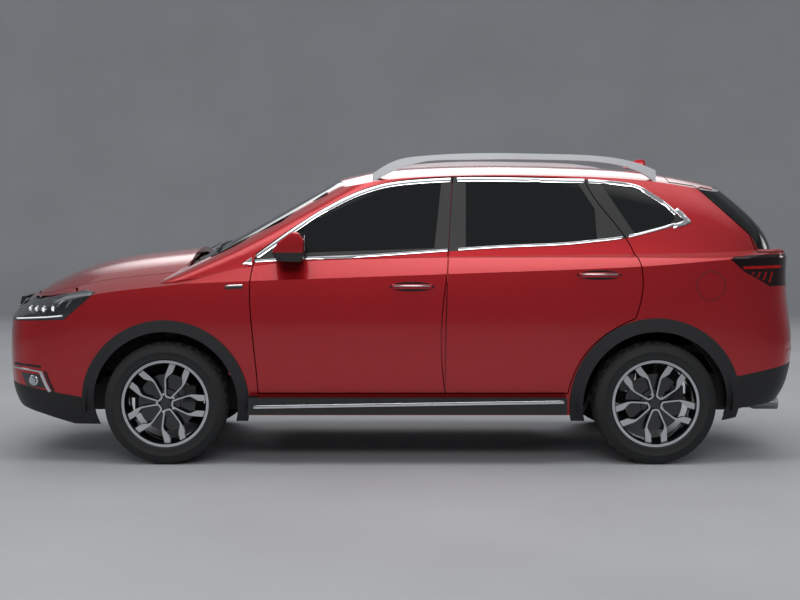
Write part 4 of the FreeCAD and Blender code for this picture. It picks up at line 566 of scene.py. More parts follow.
# %% [markdown]
# A bright moulding frames all the side windows as one eye-shaped line. On the car it is rolled
# steel, clipped on in lengths: one on the wing, one on each door and one on the quarter panel. Each
# length ends at a shut line, so that the doors open without it.


# %% Window mouldings
window_top = [(-0.874, 1.110), (-0.568, 1.330), (-0.355, 1.457), (-0.185, 1.528), (-0.017, 1.564),
              (0.288, 1.585),
              (0.538, 1.586), (0.871, 1.580), (1.052, 1.576), (1.286, 1.551), (1.399, 1.493), (1.486, 1.429),
              (1.579, 1.337)]
window_belt = [(-0.874, 1.110), (-0.775, 1.117), (-0.547, 1.130), (-0.253, 1.141), (-0.017, 1.156),
               (0.246, 1.175),
               (0.531, 1.194), (0.860, 1.208), (1.057, 1.226), (1.227, 1.247), (1.400, 1.288), (1.579, 1.337)]
lengths = {"door_front": (-0.823, 0.270), "door_rear": (0.292, 1.218), "quarter": (1.240, 1.520)}
top_lengths = dict(lengths, door_front=(-0.823, 0.274), door_rear=(0.288, 1.020), quarter=(1.034, 1.530))


def moulding(name, line, width, part, reach, material, lift, depth=0.005):
    """One length of a moulding on one panel."""
    cut = [p for p in smooth_line(line, 0.012) if reach[0] <= p.x <= reach[1]]
    bm = band(cut, width, rows=2)
    lay(bm, skins[part], lift, feel=0.007)
    thicken(bm, (0, depth, 0))
    soften(bm, 0.0012)
    body = "body" if part == "quarter" else part + "_{side}"
    both_sides(name, bm, body, material)


for part in lengths:
    moulding(f"window_moulding_top_{part}", window_top, -0.023, part, top_lengths[part], chrome, 0.0035)
    moulding(f"window_moulding_belt_{part}", window_belt, 0.014, part, lengths[part], chrome, 0.0040)
corners = {
    "wing": [(-0.888, 1.107), (-0.833, 1.100), (-0.833, 1.143)],
    "quarter": [(1.500, 1.302), (1.560, 1.317), (1.600, 1.333), (1.596, 1.346), (1.560, 1.388),
                (1.528, 1.416),
                (1.512, 1.399), (1.540, 1.368), (1.560, 1.347), (1.550, 1.340), (1.500, 1.325)],
}
for part, outline in corners.items():
    bm = panel(outline, 0.02)
    lay(bm, skins[part], 0.0042, feel=0.007)
    thicken(bm, (0, 0.005, 0))
    soften(bm, 0.0012)
    both_sides(f"window_corner_{part}", bm, "body", chrome)
print("window mouldings on", len(lengths) + 1, "panels a side")

# %% [markdown]
# Each door handle is a pull bar that arches off the skin, in body colour with a bright insert along
# its top. A bar is a band again: its lift off the skin follows half a sine wave, so both feet meet
# the door.

# %% Door handles
handles = {"door_front": (-0.063, 0.159, 0.986, -0.003), "door_rear": (0.962, 1.184, 1.049, -0.003)}
for part, (start, end, height, drop) in handles.items():
    def arch(point, start=start, end=end):
        share = min(1, max(0, (point.x - start) / (end - start)))
        return 0.006 + 0.026 * math.sin(math.pi * share) ** 0.6
    line = smooth_line([(start, height + 0.010), ((start + end) / 2, height + 0.012),
                        (end, height + 0.010)], 0.012)
    bm = band(line, -0.026, rows=2)
    lay(bm, skins[part], arch)
    thicken(bm, (0, 0.013, 0))
    soften(bm, 0.004, 3)
    both_sides(f"{part}_handle", bm, part + "_{side}", paint)
    bm = band(smooth_line([(start + 0.012, height + 0.006), (end - 0.012, height + 0.006)], 0.012), -0.007)
    lay(bm, skins[part], lambda point: arch(point) + 0.002)
    thicken(bm, (0, 0.004, 0))
    soften(bm, 0.001)
    both_sides(f"{part}_handle_insert", bm, part + "_{side}", chrome)
    # The cup behind the bar is not carved. A gloss black oval laid just proud of the door stands in for it:
    # painted shade where the recess would be dark.
    bm = panel([(start - 0.012 + 0.5 * (end - start + 0.024) * (1 - math.cos(math.pi * k / 12)),
                 height - 0.002 + 0.026 * math.sin(math.pi * k / 12)) for k in range(13)]
               + [(end + 0.012 - 0.5 * (end - start + 0.024) * (1 - math.cos(math.pi * k / 12)),
                   height - 0.002 - 0.026 * math.sin(math.pi * k / 12)) for k in range(1, 12)], 0.02)
    lay(bm, skins[part], 0.0008)
    thicken(bm, (0, 0.002, 0))
    both_sides(f"{part}_handle_cup", bm, part + "_{side}", gloss_black)
    for foot, place in (("front", start + 0.008), ("rear", end - 0.008)):
        bm = bmesh.new()
        bmesh.ops.create_cube(bm, size=1, matrix=Matrix.Translation((place, 0, height)) @ Matrix.Diagonal(
            (0.018, 0.012, 0.022, 1)))
        hit = skins[part].ray_cast(Vector((place, -1.4, height)), Vector((0, 1, 0)))[0]
        bmesh.ops.translate(bm, vec=(0, hit.y - 0.005, 0), verts=bm.verts)
        soften(bm, 0.003)
        both_sides(f"{part}_handle_foot_{foot}", bm, part + "_{side}", paint)

# %% [markdown]
# Three accents are left on the flanks: a long bright strip on each side step, a small bright dash on
# the wing, and the round fuel flap, which is only a thin shut line in the left quarter panel. Round the
# flap a black ring is laid on the skin: painted shade, standing in for the dark gap of that shut line.

# %% Step strip, wing dash and fuel flap
bm = band(smooth_line([(-0.819, 0.334), (0.040, 0.348), (0.880, 0.361)], 0.03), -0.017, rows=2)
lay(bm, skins["step"], 0.003)
thicken(bm, (0, 0.004, 0))
soften(bm, 0.0012)
both_sides("step_strip", bm, "body", chrome)

bm = band(smooth_line([(-0.972, 0.992), (-0.879, 0.996)], 0.02), -0.009)
lay(bm, skins["wing"], 0.003)
thicken(bm, (0, 0.004, 0))
soften(bm, 0.001)
both_sides("wing_dash", bm, "body", chrome)
bm = band(smooth_line([(-0.975, 0.983), (-0.877, 0.987)], 0.02), -0.014)
lay(bm, skins["wing"], 0.0012)
thicken(bm, (0, 0.004, 0))
both_sides("wing_dash_base", bm, "body", satin_black)

flap = [Vector((1.687 + 0.080 * math.cos(a * math.pi / 24), 0.988 + 0.080 * math.sin(a * math.pi / 24)))
        for a in range(49)]
flap[-1] = flap[-1] + Vector((0, -0.0002))
# A black ring 3.5 mm wide round the flap: painted shade in place of the dark gap of its shut line.
bm = band(flap, 0.0035)
lay(bm, skins["quarter"], 0.0006)
thicken(bm, (0, 0.002, 0))
piece("fuel_flap_seam", bm, "body", satin_black)

# %% [markdown]
# The tyres carry what a CAD solid can't: four grooves round the tread, a row of shoulder blocks and
# the raised rings of the sidewall. One cross-section is spun round the axle in 72 steps, then every
# other step of the shoulders is pressed in to part the blocks. The four copies replace the plain
# CAD tyres and stay inside their outline.

# %% Tyres with tread
TYRE_STEPS = 72
tyre_profile = [(-0.094, 0.3335)]
for groove in (-0.058, -0.020, 0.020, 0.058):
    tyre_profile += [(groove - 0.0065, 0.3378), (groove - 0.0045, 0.3300), (groove + 0.0045, 0.3300),
                     (groove + 0.0065, 0.3378)]
tyre_profile += [(0.094, 0.3335)]
wall = [(0.106, 0.322), (0.112, 0.307), (0.1135, 0.305), (0.1160, 0.290), (0.1172, 0.288), (0.1172, 0.284),
        (0.1160, 0.282), (0.1150, 0.268), (0.1120, 0.256), (0.1125, 0.250), (0.1060, 0.244), (0.1000, 0.240)]
tyre_profile = [(-y, r) for y, r in reversed(wall)] + tyre_profile + wall
bm = bmesh.new()
ring = [bm.verts.new((0, y, r)) for y, r in tyre_profile]
ring_edges = [bm.edges.new(pair) for pair in zip(ring, ring[1:])]
bmesh.ops.spin(bm, geom=ring + ring_edges, cent=(0, 0, 0), axis=(0, 1, 0), dvec=(0, 0, 0), angle=math.tau,
               steps=TYRE_STEPS, use_merge=True, use_duplicate=False)
bmesh.ops.remove_doubles(bm, verts=bm.verts, dist=0.00005)
bmesh.ops.recalc_face_normals(bm, faces=bm.faces)
blocks = []
for face in bm.faces:
    centre = face.calc_center_median()
    step = int((math.atan2(centre.z, centre.x) % math.tau) / math.tau * TYRE_STEPS)
    radius = math.hypot(centre.x, centre.z)
    if radius > 0.326 and 0.066 < abs(centre.y) < 0.103 and step % 2:
        blocks.append(face)
    elif radius > 0.3365 and abs(centre.y) < 0.05 and step % 3 == 0:
        blocks.append(face)
bmesh.ops.inset_individual(bm, faces=blocks, thickness=0.0022, depth=0, use_even_offset=True)
for v in {v for f in blocks for v in f.verts}:
    shrink = (math.hypot(v.co.x, v.co.z) - 0.0050) / math.hypot(v.co.x, v.co.z)
    v.co.x *= shrink
    v.co.z *= shrink
for side, sign in SIDES.items():
    for end, axle in ENDS.items():
        copy = bm.copy()
        bmesh.ops.translate(copy, vec=(axle, sign * HALF_TRACK, HUB), verts=copy.verts)
        thing = piece(f"tyre_tread_{end}_{side}", copy, f"wheel_{end}_{side}", rubber, 30)
        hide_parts(f"tyre_{end}_{side}")
print("a tyre has", len(bm.faces), "faces")
bm.free()

# %% [markdown]
# A lamp is a clear cover over a bowl with things in it. The CAD lamp is one solid, so it is
# replaced: its outward faces are copied and cut into a fine grid, once as the cover, two
# millimetres thick, and once as the bowl, where the grid sinks in away from its rim. The parts
# inside are bands and small turned pieces that rest just under the cover.


# %% Lamp covers and bowls
def outer_skin(node, way, limit=0.25, cell=0.014):
    """The faces of a CAD node's left half that look against a direction, cut into small cells."""
    bm = bmesh.new()
    bm.from_mesh(nodes[node].data)
    bmesh.ops.remove_doubles(bm, verts=bm.verts, dist=0.00002)
    bm.normal_update()
    way = Vector(way).normalized()
    gone = [f for f in bm.faces if f.calc_center_median().y > 0 or -f.normal.dot(way) < limit]
    bmesh.ops.delete(bm, geom=gone, context="FACES")
    across = way.cross(Vector((0, 0, 1))).normalized()
    for normal in (across, Vector((0, 0, 1))):
        places = sorted(v.co.dot(normal) for v in bm.verts)
        place = places[0] + cell
        while place < places[-1]:
            bmesh.ops.bisect_plane(bm, geom=bm.verts[:] + bm.edges[:] + bm.faces[:], plane_co=normal * place,
                                   plane_no=normal)
            place += cell
    return bm


def sink(bm, way, depth, rim):
    """Presses a sheet in along a direction, not at its border and fully beyond a rim's width from it."""
    border = [v.co.copy() for v in bm.verts if v.is_boundary]
    tree = KDTree(len(border))
    for i, co in enumerate(border):
        tree.insert(co, i)
    tree.balance()
    for v in bm.verts:
        share = min(1, tree.find(v.co)[2] / rim)
        v.co += Vector(way).normalized() * depth * share * share * (3 - 2 * share)


def lamp(name, node, body, way, depth, rim, cover_finish, bowl_finish, cover_slot):
    """Cover and bowl of the lamps on both sides. Returns the skin's tree, for the parts inside."""
    skin = outer_skin(node, way)
    tree = BVHTree.FromBMesh(skin)
    cover = skin.copy()
    thicken(cover, Vector(way).normalized() * 0.002)
    covers = both_sides(f"{name}_cover", cover, body, cover_finish)
    sink(skin, way, depth, rim)
    thicken(skin, Vector(way).normalized() * 0.002)
    bowls = both_sides(f"{name}_bowl", skin, body, bowl_finish)
    for thing in bowls + covers:
        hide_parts(node)
    return tree


FRONT_WAY = (0.62, 0.78, 0)
headlamp_skin = lamp("headlamp", "headlamps", "body", FRONT_WAY, 0.030, 0.035, lens, lamp_dark, "head_lens")

# %% Inside the headlamps: a silver blade, a daylight line, four projectors and two fins
blade = [(-1.935, 0.906), (-1.860, 0.930), (-1.780, 0.944), (-1.715, 0.951)]
bm = band(smooth_line(blade, 0.015), -0.016, rows=2)
lay(bm, headlamp_skin, -0.0035)
thicken(bm, (0, 0.004, 0))
soften(bm, 0.001)
both_sides("headlamp_blade", bm, "body", silver)
daylight = [(-2.150, 0.800), (-2.060, 0.806), (-1.960, 0.812), (-1.872, 0.820)]
bm = band(smooth_line(daylight, 0.015), 0.006)
lay(bm, headlamp_skin, -0.0035)
thicken(bm, (0, 0.003, 0))
both_sides("headlamp_line", bm, "body", day_light)
for number, (x, z) in enumerate(((-2.090, 0.853), (-2.040, 0.854), (-1.990, 0.856), (-1.935, 0.860))):
    hit = headlamp_skin.ray_cast(Vector((x, -0.30, z)) - Vector(FRONT_WAY).normalized() * 1.5,
                                 Vector(FRONT_WAY))[0]
    spot = headlamp_skin.ray_cast(Vector((x, -2.0, z)), Vector((0, 1, 0)))[0] or hit
    facing = Matrix.Translation(spot + Vector(FRONT_WAY).normalized() * 0.020) @ Vector(
        (-0.80, -0.60, 0)).to_track_quat("Z", "Y").to_matrix().to_4x4()
    bm = bmesh.new()
    rim_profile = [(0.013, -0.014), (0.019, -0.004), (0.021, 0.004), (0.019, 0.006), (0.015, 0.001),
                   (0.012, -0.010)]
    loop = [bm.verts.new((r, 0, z)) for r, z in rim_profile]
    edges = [bm.edges.new(pair) for pair in zip(loop, loop[1:] + loop[:1])]
    bmesh.ops.spin(bm, geom=loop + edges, cent=(0, 0, 0), axis=(0, 0, 1), dvec=(0, 0, 0), angle=math.tau,
                   steps=24,
                   use_merge=True, use_duplicate=False)
    bmesh.ops.transform(bm, matrix=facing, verts=bm.verts)
    both_sides(f"projector_ring_{number}", bm, "body", silver)
    bm = bmesh.new()
    bmesh.ops.create_uvsphere(bm, u_segments=20, v_segments=12, radius=0.0125, matrix=facing)
    both_sides(f"projector_eye_{number}", bm, "body", day_light)
for number, x in enumerate((-1.885, -1.835)):
    bm = panel([(x - 0.022, 0.868), (x - 0.008, 0.872), (x + 0.022, 0.912), (x + 0.008, 0.908)], 0.02)
    lay(bm, headlamp_skin, -0.006)
    thicken(bm, (0, 0.004, 0))
    soften(bm, 0.001)
    both_sides(f"headlamp_fin_{number}", bm, "body", silver)

# %% Tail lamps: the side lamp and its other half on the tailgate
SIDE_WAY = (-0.45, 0.90, 0)
REAR_WAY = (-1.0, 0.25, 0)
tail_skin = lamp("tail_lamp", "tail_lamps", "body", SIDE_WAY, 0.022, 0.030, tail_lens, lamp_dark, "tail_lens")
gate_skin = lamp("gate_lamp", "tailgate_lamps", "tailgate", REAR_WAY, 0.016, 0.025, tail_lens, lamp_dark,
                 "tail_lens")
for name, line, width, finish_used in (
        ("tail_bar", [(1.868, 1.078), (1.960, 1.080), (2.040, 1.082), (2.095, 1.083)], 0.015, tail_light),
        ("tail_upper", [(1.818, 1.140), (1.900, 1.141), (1.985, 1.142)], -0.011, silver)):
    bm = band(smooth_line(line, 0.014), width)
    lay(bm, tail_skin, -0.0035)
    thicken(bm, (0, 0.004, 0))
    both_sides(name, bm, "body", finish_used)
for number in range(4):
    x = 1.925 + 0.036 * number
    drop = 0.012 * number
    bm = panel([(x, 1.062), (x + 0.008, 1.062), (x - 0.010, 1.040 - drop), (x - 0.018, 1.040 - drop)], 0.02)
    lay(bm, tail_skin, -0.0040)
    thicken(bm, (0, 0.003, 0))
    both_sides(f"tail_tick_{number}", bm, "body", tail_light)


def across(bm):
    """Turns a piece drawn in the X Z plane to the Y Z plane, as seen from behind or in front."""
    for v in bm.verts:
        v.co = (0, v.co.x, v.co.z)


bm = band(smooth_line([(-0.618, 1.083), (-0.50, 1.083), (-0.385, 1.083)], 0.02), 0.015)
across(bm)
lay(bm, gate_skin, -0.0035, way=(-1, 0, 0), start=4)
thicken(bm, (-0.004, 0, 0))
both_sides("gate_bar", bm, "tailgate", tail_light)
for number in range(6):
    y = -0.600 + 0.036 * number
    bm = panel([(y, 1.062), (y + 0.008, 1.062), (y + 0.026, 1.010), (y + 0.018, 1.010)], 0.02)
    across(bm)
    lay(bm, gate_skin, -0.0040, way=(-1, 0, 0), start=4)
    thicken(bm, (-0.003, 0, 0))
    both_sides(f"gate_tick_{number}", bm, "tailgate", tail_light)
print("lamps done")

# %% [markdown]
# The nose gets its bright trim: a frame round the grille, a blade
# across it, and round each fog lamp a bracket with one slanted leg. They are bands seen from the
# front or the side, laid on the CAD grille and bumper.

# %% Grille frame and fog lamps
nose = surface("grille", "front_bumper", "bonnet", "headlamps")
nose_side = surface("front_bumper")
bars = surface("grille")
bm = band(smooth_line([(-0.436, 0.862), (0, 0.858), (0.436, 0.862)], 0.03), -0.024)
across(bm)
lay(bm, bars, 0.006, way=(1, 0, 0), start=4, feel=0.016)
bmesh.ops.smooth_vert(bm, verts=bm.verts, factor=0.5, use_axis_x=True, use_axis_y=False, use_axis_z=False)
thicken(bm, (0.008, 0, 0))
soften(bm, 0.002)
piece("grille_blade", bm, "body", chrome)
frame_line = [Vector(spot) for spot in ((0.0, 0.640), (-0.110, 0.640), (-0.220, 0.640), (-0.331, 0.640),
                                        (-0.372, 0.688),
                                        (-0.412, 0.736), (-0.451, 0.783), (-0.451, 0.830), (-0.451, 0.885))]
bm = band(frame_line, 0.016)
across(bm)
lay(bm, nose, 0.004, way=(1, 0, 0), start=4, feel=0.006)
thicken(bm, (0.006, 0, 0))
soften(bm, 0.0015)
both_sides("grille_frame", bm, "body", chrome)
bm = panel([(-0.560, 0.385), (0.560, 0.385), (0.560, 0.570), (-0.560, 0.570)], 0.06)
across(bm)
lay(bm, nose, -0.060, way=(1, 0, 0), start=4)
thicken(bm, (0.003, 0, 0))
piece("intake_back", bm, "body", satin_black)

CORNER_WAY = (0.60, 0.80, 0)
for name, line, width, finish_used in (
        ("fog_bar", [(-2.170, 0.556), (-2.080, 0.553), (-2.000, 0.546)], -0.012, satin_black),
        ("fog_line", [(-2.175, 0.536), (-2.080, 0.528), (-1.990, 0.516)], -0.010, chrome),
        ("fog_leg", [(-1.992, 0.516), (-1.966, 0.450), (-1.944, 0.404)], -0.018, chrome),
        ("fog_edge", [(-1.972, 0.518), (-1.946, 0.450), (-1.926, 0.404)], -0.010, satin_black)):
    bm = band(smooth_line(line, 0.012), width, rows=2)
    lay(bm, nose_side, 0.004, feel=0.004)
    thicken(bm, Vector(CORNER_WAY) * 0.006)
    soften(bm, 0.0012)
    both_sides(name, bm, "body", finish_used)
bm = panel([(-2.120, 0.505), (-2.010, 0.497), (-1.975, 0.420), (-2.090, 0.428)], 0.02)
lay(bm, nose_side, 0.0015)
thicken(bm, Vector(CORNER_WAY) * 0.004)
both_sides("fog_pocket", bm, "body", gloss_black)
for x, z, radius, finish_used, name in ((-2.045, 0.462, 0.030, silver, "fog_reflector"),
                                        (-2.045, 0.462, 0.022, lens, "fog_lens")):
    hit, normal = nose_side.ray_cast(Vector((x, -2.0, z)), Vector((0, 1, 0)))[:2]
    turned = Matrix.Translation(hit) @ normal.to_track_quat("Z", "Y").to_matrix().to_4x4()
    bm = bmesh.new()
    bmesh.ops.create_uvsphere(bm, u_segments=24, v_segments=12, radius=1,
                              matrix=turned @ Matrix.Diagonal((radius, radius,
                                                               0.008 if finish_used == lens else 0.005, 1)))
    both_sides(name, bm, "body", finish_used)

# %% [markdown]
# Between the bonnet and the windscreen lies the cowl, a black panel that hides the wiper gear,
# and on it rest the two wipers. The tailgate has its own small wiper, and a shark-fin aerial
# stands on the roof. The cowl leaves room for the bonnet's hinges.


# %% Cowl, wipers and aerial
def plan_view(bm):
    """Turns a piece drawn in the X Z plane to the X Y plane, as seen from above."""
    for v in bm.verts:
        v.co = (v.co.x, v.co.z, 0)


bm = panel([(-1.186, -0.385), (-1.148, -0.385), (-1.148, 0.385), (-1.186, 0.385)], 0.03)
plan_view(bm)
for v in bm.verts:
    v.co.z = 1.138 - 0.10 * (v.co.y ** 2)
thicken(bm, (0, 0, -0.004))
soften(bm, 0.001)
piece("cowl_middle", bm, "body", trim)
bm = panel([(-1.186, -0.640), (-1.154, -0.640), (-1.150, -0.455), (-1.186, -0.455)], 0.03)
plan_view(bm)
for v in bm.verts:
    v.co.z = 1.138 - 0.10 * (v.co.y ** 2)
thicken(bm, (0, 0, -0.004))
soften(bm, 0.001)
both_sides("cowl_side", bm, "body", trim)

screen = surface("windscreen")
for name, start, end in (("driver", -0.640, 0.010), ("passenger", -0.020, 0.560)):
    line = [Vector((-1.058 + 0.055 * (y * y) / 0.36 * 0.35, y))
            for y in [start + (end - start) * k / 20 for k in range(21)]]
    for part, width, lift, thick in (("rubber", 0.006, 0.008, 0.008), ("blade", 0.018, 0.014, 0.006)):
        bm = band([p + Vector((0.006 if part == "rubber" else 0, 0)) for p in line], width)
        plan_view(bm)
        lay(bm, screen, lift, way=(0, 0, -1), start=3, feel=0.004)
        thicken(bm, (0, 0, -thick))
        soften(bm, 0.0015)
        piece(f"wiper_{part}_{name}", bm, "body", satin_black if part == "blade" else rubber)
    middle = (start + end) / 2
    pivot = start + 0.10
    arm = [Vector((-1.078, pivot)), Vector((-1.070, pivot + 0.06)), Vector((-1.066, middle - 0.08)),
           Vector((-1.062, middle))]
    bm = band(arm, 0.014, rows=1)
    plan_view(bm)
    lay(bm, screen, 0.024, way=(0, 0, -1), start=3, feel=0.012)
    thicken(bm, (0, 0, -0.006))
    soften(bm, 0.0018)
    piece(f"wiper_arm_{name}", bm, "body", satin_black)

fin = [(1.330, 1.660), (1.360, 1.682), (1.392, 1.702), (1.420, 1.712), (1.448, 1.714), (1.462, 1.708),
       (1.468, 1.690), (1.470, 1.650)]
bm = panel(fin, 0.02)
thicken(bm, (0, 0.004, 0))
bmesh.ops.translate(bm, vec=(0, -0.002, 0), verts=bm.verts)
for v in bm.verts:
    spread = 1 + 6.0 * max(0, (1.716 - v.co.z) / 0.06) ** 1.3
    v.co.y *= spread
soften(bm, 0.002, 2, 60)
piece("aerial_fin", bm, "body", paint, 60)

gate = surface("tailgate_glass", "tailgate")
bm = band([Vector((y, 1.285)) for y in [-0.02 + 0.34 * k / 12 for k in range(13)]], 0.014)
across(bm)
lay(bm, gate, 0.014, way=(-1, 0, 0), start=4, feel=0.006)
thicken(bm, (-0.008, 0, 0))
soften(bm, 0.002)
piece("rear_wiper", bm, "tailgate", satin_black)

# %% [markdown]
# The mirrors fold the body colour over a black foot, with a bright glass looking back. The CAD
# block is replaced by a copy of itself whose corners are rounded well, as a moulded shell has them.

# %% Mirrors
for side, sign in SIDES.items():
    bm = bmesh.new()
    bm.from_mesh(nodes[f"mirror_{side}"].data)
    bmesh.ops.remove_doubles(bm, verts=bm.verts, dist=0.00005)
    bmesh.ops.dissolve_limit(bm, angle_limit=math.radians(2), verts=bm.verts, edges=bm.edges)
    soften(bm, 0.013, 4, 20)
    shell = piece(f"mirror_shell_{side}", bm, f"door_front_{side}", mirror_paint, 40)
    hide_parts(f"mirror_{side}")
face = max(nodes["mirror_left"].data.polygons, key=lambda f: f.normal.x * f.area)
print("mirror glass looks back from x", round(face.center.x, 3))
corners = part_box("mirror_left")
bm = bmesh.new()
outline = [(-0.972, 1.190), (-0.968, 1.255), (-0.945, 1.268), (-0.862, 1.262), (-0.850, 1.240),
           (-0.850, 1.190),
           (-0.870, 1.180), (-0.950, 1.180)]
bm.faces.new([bm.verts.new((corners[1].x - 0.001, y, z)) for y, z in outline])
thicken(bm, (0.003, 0, 0))
soften(bm, 0.001)
both_sides("mirror_glass", bm, "door_front_{side}", silver)

# %% [markdown]
# Two places need a closer. The windscreen's glass is narrower than its opening near the foot, where
# a real car has a wide rubber finisher beside the pillar, and each wheel arch has a plastic liner.
# The finisher is a sheet bridged over three lines, from outside the pillar's rim to the glass, and it
# starts behind the sweep of the opening bonnet. The liner is a line swept round the axle, clear of the
# steered tyre, and a ribbed splash panel closes the view across the car beside each wheel.

# %% Windscreen finishers and arch liners
pillar_skin = surface("side_frame_left", "wing_left", "bulkhead", "roof_panel")
pillar_line = [(-1.256, -0.565), (-1.040, -0.752), (-0.7295, -0.652), (-0.419, -0.597)]
glass_edge, pillar_edge, pillar_rim = [], [], []
height = 1.20
for k in range(34):
    x = -1.072 + 0.0195 * k
    a, b = next((a, b) for a, b in zip(pillar_line, pillar_line[1:]) if a[0] <= x <= b[0])
    y = a[1] + (b[1] - a[1]) * (x - a[0]) / (b[0] - a[0])
    hit = pillar_skin.ray_cast(Vector((x, y - 0.022, 3)), Vector((0, 0, -1)))[0]
    height = hit.z + 0.005 if hit and hit.z > 1.0 else height
    pillar_edge.append(Vector((x, y - 0.022, height)))
    rim = pillar_skin.ray_cast(Vector((x, y - 0.005, 3)), Vector((0, 0, -1)))[0]
    rim_height = rim.z if rim and abs(rim.z - height) < 0.030 else height + 0.006
    pillar_rim.append(Vector((x, y - 0.005, rim_height + 0.008)))
    inner = next((h for h in (screen.ray_cast(Vector((x, y + 0.004 * step, 3)), Vector((0, 0, -1)))[0]
                              for step in range(80)) if h is not None), None)
    glass_edge.append(Vector((x, inner.y + 0.018, inner.z + 0.003)) if inner else Vector((x, y + 0.10,
                                                                                          height - 0.012)))
for _ in range(30):
    for line in (pillar_edge, pillar_rim, glass_edge):
        line[1:-1] = [(a + b * 2 + c) / 4 for a, b, c in zip(line, line[1:], line[2:])]
bm = bmesh.new()
rows = [[bm.verts.new(p) for p in line] for line in (pillar_edge, pillar_rim, glass_edge)]
strings = [[bm.edges.new(pair) for pair in zip(row, row[1:])] for row in rows]
for one, other in zip(strings, strings[1:]):
    bmesh.ops.bridge_loops(bm, edges=one + other)
thicken(bm, (0, 0, -0.003))
both_sides("windscreen_finisher", bm, "body", rubber)

for end, axle, reach, inside in (("front", FRONT_AXLE, 0.444, 0.660), ("rear", REAR_AXLE, 0.430, 0.640)):
    bm = bmesh.new()
    line = [bm.verts.new((axle + reach, y, HUB)) for y in (-inside, -0.76, -0.885)]
    edges = [bm.edges.new(pair) for pair in zip(line, line[1:])]
    bmesh.ops.rotate(bm, cent=(axle, 0, HUB), matrix=Matrix.Rotation(math.radians(6), 3, "Y"), verts=bm.verts)
    bmesh.ops.spin(bm, geom=line + edges, cent=(axle, 0, HUB), axis=(0, 1, 0), dvec=(0, 0, 0),
                   angle=math.radians(-192), steps=48, use_merge=False, use_duplicate=False)
    bmesh.ops.remove_doubles(bm, verts=bm.verts, dist=0.0001)
    for v in bm.verts:
        ridge = 0.003 * math.sin(24 * math.atan2(v.co.z - HUB, v.co.x - axle))
        away = Vector((v.co.x - axle, 0, v.co.z - HUB)).normalized()
        v.co += away * ridge
    bmesh.ops.recalc_face_normals(bm, faces=bm.faces)
    bmesh.ops.solidify(bm, geom=bm.faces[:], thickness=0.003)
    both_sides(f"arch_liner_{end}", bm, "body", trim)
for end, side_line, start, stop, low in (("front", -0.440, -1.860, -1.620, 0.250),
                                         ("rear", -0.648, 1.600, 1.825, 0.275)):
    bm = panel([(start, low + 0.04), (start + 0.04, low), (stop, low), (stop, 0.480), (start, 0.480)], 0.02)
    for v in bm.verts:
        v.co.y = side_line + 0.003 * math.sin(v.co.x * 90)
    thicken(bm, (0, 0.003, 0))
    both_sides(f"splash_panel_{end}", bm, "body", trim)

# %% [markdown]
# Five six-sided nuts turn with each wheel. The calipers are CAD pieces, and get cast ribs here:
# the front ones steer with their knuckles, and the rear ones stay with the body.

# %% Wheel nuts and the calipers' ribs
for end, axle in ENDS.items():
    bm = bmesh.new()
    for k in range(5):
        angle = math.tau * (k + 0.5) / 5
        spot = Vector((axle + 0.050 * math.cos(angle), -0.846, HUB + 0.050 * math.sin(angle)))
        bmesh.ops.create_cone(bm, cap_ends=True, segments=6, radius1=0.0098, radius2=0.0088, depth=0.016,
                              matrix=Matrix.Translation(spot) @ Matrix.Rotation(math.radians(90), 4, "X"))
    soften(bm, 0.001, 1, 50)
    both_sides(f"wheel_nuts_{end}", bm, f"wheel_{end}_" + "{side}", chrome)
    ribs = bmesh.new()
    for height in (0.018, 0.046, 0.074):
        bmesh.ops.create_cube(ribs, size=1, matrix=Matrix.Translation((axle + 0.126, -0.8305, HUB + height))
                              @ Matrix.Diagonal((0.044, 0.005, 0.012, 1)))
    soften(ribs, 0.0015)
    both_sides(f"caliper_ribs_{end}", ribs, "knuckle_{side}" if end == "front" else "body", iron)

# %% [markdown]
# The seats are leather over foam. Each CAD seat is replaced by a copy of itself that is remeshed to
# an even skin, blown up a little as cloth under pressure, with no point moving more than 20 mm, and
# then quilted: narrow sewn channels are pressed in across and along it.


